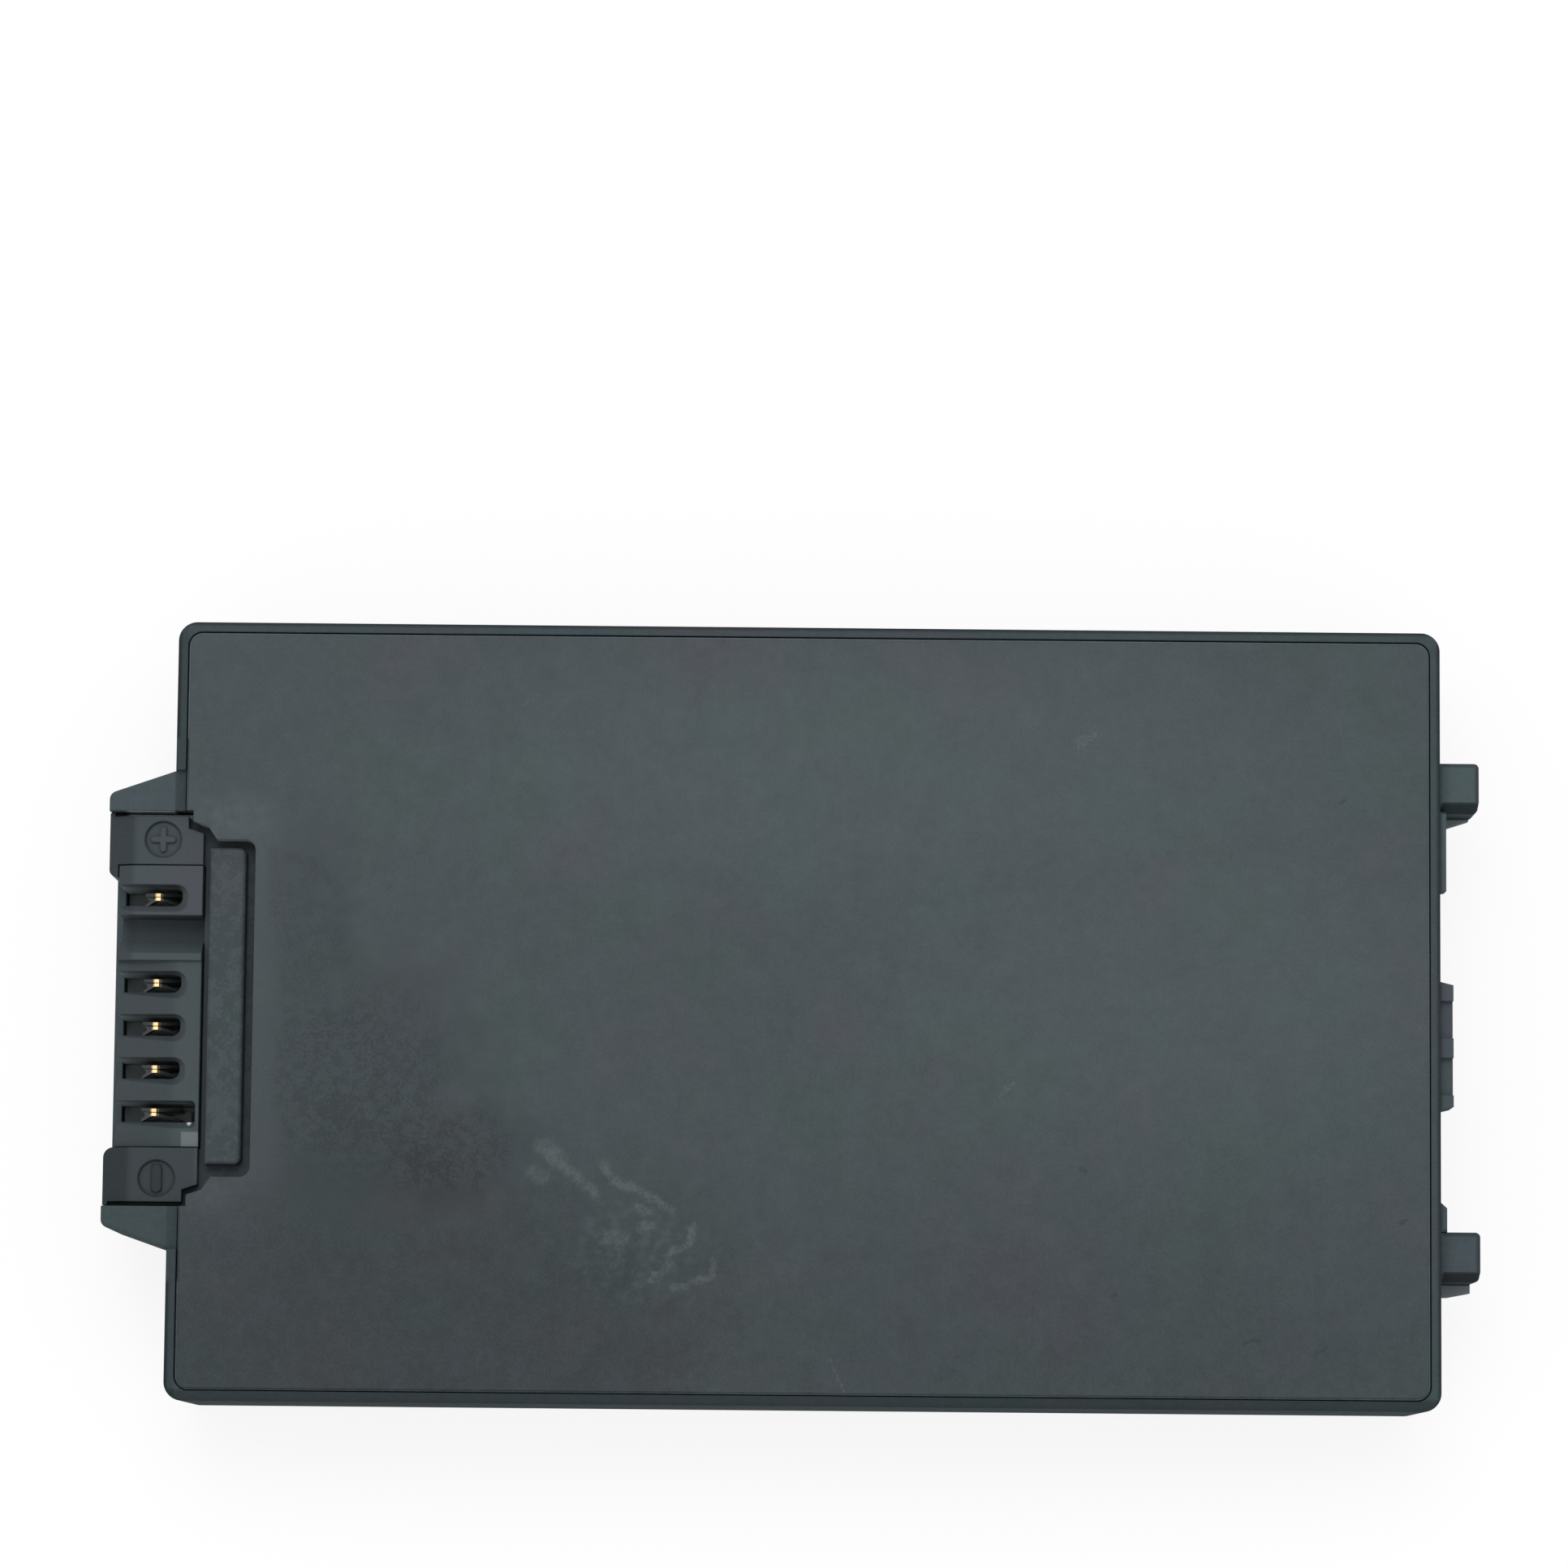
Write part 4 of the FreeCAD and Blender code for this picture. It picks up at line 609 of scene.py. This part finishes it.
# Deep in the slots, outside the key slot, the colour is lifted to pale grey as painted light.
slot_painted_light = net.blend(net.ramp(x, -45.4, -44.9) * net.ramp(z, 11.0, 9.6), SLOT_PAINTED_LIGHT, SLOT_END_PAINTED_LIGHT)
colour = net.blend(net.ramp(z, 11.2, 9.8) * (1 - in_key), colour, slot_painted_light)
worn = (net.ramp(x, -43.1, -42.95) * net.ramp(y, -8.4, -8.55) * net.ramp(y, -9.6, -9.45)
        * net.ramp(z, 11.5, 11.8))
glint = patch(net, x, y, (-42.55, -7.75), (0.22, 0.34))
colour = net.blend(worn * 0.7, colour, WORN_PLASTIC)
colour = net.blend(glint, colour, GLINT)
close_plastic(net, colour, 0.48 + speckle * 0.06, grain_normal(net, place, 0.15), 0.2)
dress(housing_finish, "connector_housing")

# %% [markdown]
# ## Contacts
# Each contact is a folded strip of spring metal with two leaves that pinch a blade between them. Only the
# place where they pinch is plated with gold and rubbed bright. The rest is tarnished to a dull grey, and
# lower down on the leaves a pale grey is painted as light. The gold could be a piece of its own, but it is
# only a film.
# A mask at that place switches the colour, the metal and the gloss, so the strip stays one piece.

# %% Contact finish
GOLD = (0.93, 0.66, 0.34, 1)
TARNISH = (0.06, 0.065, 0.065, 1)
LEAF_PAINTED_LIGHT = (0.42, 0.45, 0.45, 1)
PINCH_X = -45.05
LEAF_TOP = 10.9
LEAF_SLOPE = 1.9

contact_finish, net, place, x, y, z = new_finish("contact_gold_and_nickel")
off = net.size(x - PINCH_X)
plated = net.ramp(off, 0.34, 0.2) * net.ramp(z, 10.2, 10.7)
rolled = noise(net, place, 6.0, 2.0, 1.1)
below_edge = LEAF_TOP - off * LEAF_SLOPE - z
# Lower down on the leaves a pale grey is painted as light.
colour = net.blend(net.ramp(below_edge, 0.6, 1.0), TARNISH, LEAF_PAINTED_LIGHT)
colour = net.blend(plated, colour, GOLD)
close(net, {"Base Color": colour, "Metallic": plated,
            "Roughness": 0.6 - plated * 0.15 + (rolled - 0.5) * 0.1})
dress(contact_finish, *[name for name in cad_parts
                        if name.startswith("contact_") and name != "contact_frame"])

# %% [markdown]
# ## What the case holds
# The cells, straps and board can't be seen from outside, but the model can be taken apart, so they get real
# finishes too: drawn aluminium cans, rolled nickel, green solder mask, black moulded chips, fibre paper, foam
# and tape. One function makes them all, because each is a colour broken up by noise with its own gloss.

# %% Inner finishes
EVEN = (1, 1, 1)


def inner_finish(name, dark, light, per_millimetre, roughness, metal, stretch):
    """A finish whose colour wavers between two tones, with noise stretched along the grain."""
    finish, net, place, *_ = new_finish(name)
    place = net.add("ShaderNodeVectorMath", {"operation": "MULTIPLY"}, {0: place, 1: stretch})
    wave = net.ramp(noise(net, place, per_millimetre, 3.0, 0.6), 0.32, 0.68)
    close(net, {"Base Color": net.blend(wave, dark, light), "Roughness": roughness + wave * 0.1,
                "Metallic": metal})
    return finish


# Name, dark tone, light tone, lumps per millimetre, roughness, metal, stretch and the nodes that have it
INNER = [
    ("cell_aluminium", (0.6, 0.61, 0.62, 1), (0.72, 0.73, 0.74, 1), 2.0, 0.3, 1.0, (1, 0.05, 1),
     ["cell_a", "cell_b"]),
    ("mounting_tape", (0.78, 0.77, 0.72, 1), (0.87, 0.86, 0.82, 1), 1.5, 0.6, 0.0, EVEN,
     ["tape_a", "tape_b"]),
    ("pad_foam", (0.02, 0.02, 0.022, 1), (0.045, 0.045, 0.048, 1), 3.0, 0.85, 0.0, EVEN,
     ["foam_pad_a", "foam_pad_b"]),
    ("fibre_paper", (0.3, 0.36, 0.25, 1), (0.4, 0.46, 0.33, 1), 4.0, 0.75, 0.0, (0.3, 1, 1),
     ["end_insulator_a", "end_insulator_b"]),
    ("rolled_nickel", (0.52, 0.5, 0.47, 1), (0.66, 0.64, 0.6, 1), 4.0, 0.28, 1.0, (0.05, 1, 1),
     ["series_link", "positive_lead", "negative_lead"]),
    ("green_solder_mask", (0.02, 0.13, 0.045, 1), (0.035, 0.18, 0.07, 1), 1.2, 0.3, 0.0, EVEN,
     ["circuit_board"]),
    ("chip_epoxy", (0.015, 0.015, 0.017, 1), (0.03, 0.03, 0.032, 1), 6.0, 0.5, 0.0, EVEN,
     ["gauge_chip", "protector_chip", "switch_chip_a", "switch_chip_b"]),
    ("fired_ceramic", (0.09, 0.085, 0.08, 1), (0.16, 0.15, 0.14, 1), 6.0, 0.4, 0.0, EVEN,
     ["sense_resistor", "chip_fuse", "thermistor"]),
]
for *recipe, nodes in INNER:
    dress(inner_finish(*recipe), *nodes)

# %% [markdown]
# ## Polarity signs
# The pads beside the contacts carry a raised plus and minus, each in a shallow round dimple of the contact
# frame. A text object would bring a typeface with it, and a cut in the CAD would be finer than the rest of
# the model. Each sign is therefore a small mesh of its own: a flat outline with round ends, drawn out from
# the floor of the dimple to the level of the pad, with its upper edge bevelled.

# %% Signs
import bmesh
from math import pi

DIMPLE_FLOOR = 11.95
PAD_LEVEL = 12.2
EDGE_BEVEL = 0.05
END_STEPS = 10
MILLIMETRE = 0.001
# Reach and half width of a sign's arms
PLUS_ARMS = (0.9, 0.24)
MINUS_ARMS = (1.0, 0.38)


def round_end(tip, heading, half):
    """Points of a half circle that closes an arm."""
    turn = [heading - pi / 2 + pi * step / END_STEPS for step in range(END_STEPS + 1)]
    return [(tip[0] + half * cos(angle), tip[1] + half * sin(angle)) for angle in turn]


def arms_outline(headings, reach, half):
    """Outline of round-ended arms that start from one middle."""
    points = []
    for heading in headings:
        tip = ((reach - half) * cos(heading), (reach - half) * sin(heading))
        points += round_end(tip, heading, half)
        if len(headings) > 2:
            corner = heading + pi / 4
            points.append((half * 2 ** 0.5 * cos(corner), half * 2 ** 0.5 * sin(corner)))
    return points


def raised_sign(name, middle_y, outline):
    """A sign drawn out of the dimple's floor, with a soft upper edge."""
    shape = bmesh.new()
    floor_ring = [shape.verts.new((DIMPLE_X + u, middle_y + v, DIMPLE_FLOOR)) for u, v in outline]
    bottom = shape.faces.new(floor_ring)
    drawn = bmesh.ops.extrude_face_region(shape, geom=[bottom])["geom"]
    top_ring = [item for item in drawn if isinstance(item, bmesh.types.BMVert)]
    for vertex in top_ring:
        vertex.co.z = PAD_LEVEL
    upper_edges = [edge for edge in shape.edges if all(vertex in top_ring for vertex in edge.verts)]
    bmesh.ops.bevel(shape, geom=upper_edges, offset=EDGE_BEVEL, segments=2, affect="EDGES")
    bmesh.ops.recalc_face_normals(shape, faces=shape.faces)
    bmesh.ops.scale(shape, vec=(MILLIMETRE, MILLIMETRE, MILLIMETRE), verts=shape.verts)
    mesh = bpy.data.meshes.new(name)
    shape.to_mesh(mesh)
    shape.free()
    sign = bpy.data.objects.new(name, mesh)
    put_in_scene(sign)
    mesh.materials.append(frame_finish)
    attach(sign, "root")
    print(name, len(mesh.polygons), "faces")


raised_sign("plus_sign", SIGN_LINES[0], arms_outline([0, pi / 2, pi, 3 * pi / 2], *PLUS_ARMS))
raised_sign("minus_sign", SIGN_LINES[1], arms_outline([pi / 2, 3 * pi / 2], *MINUS_ARMS))

# %% [markdown]
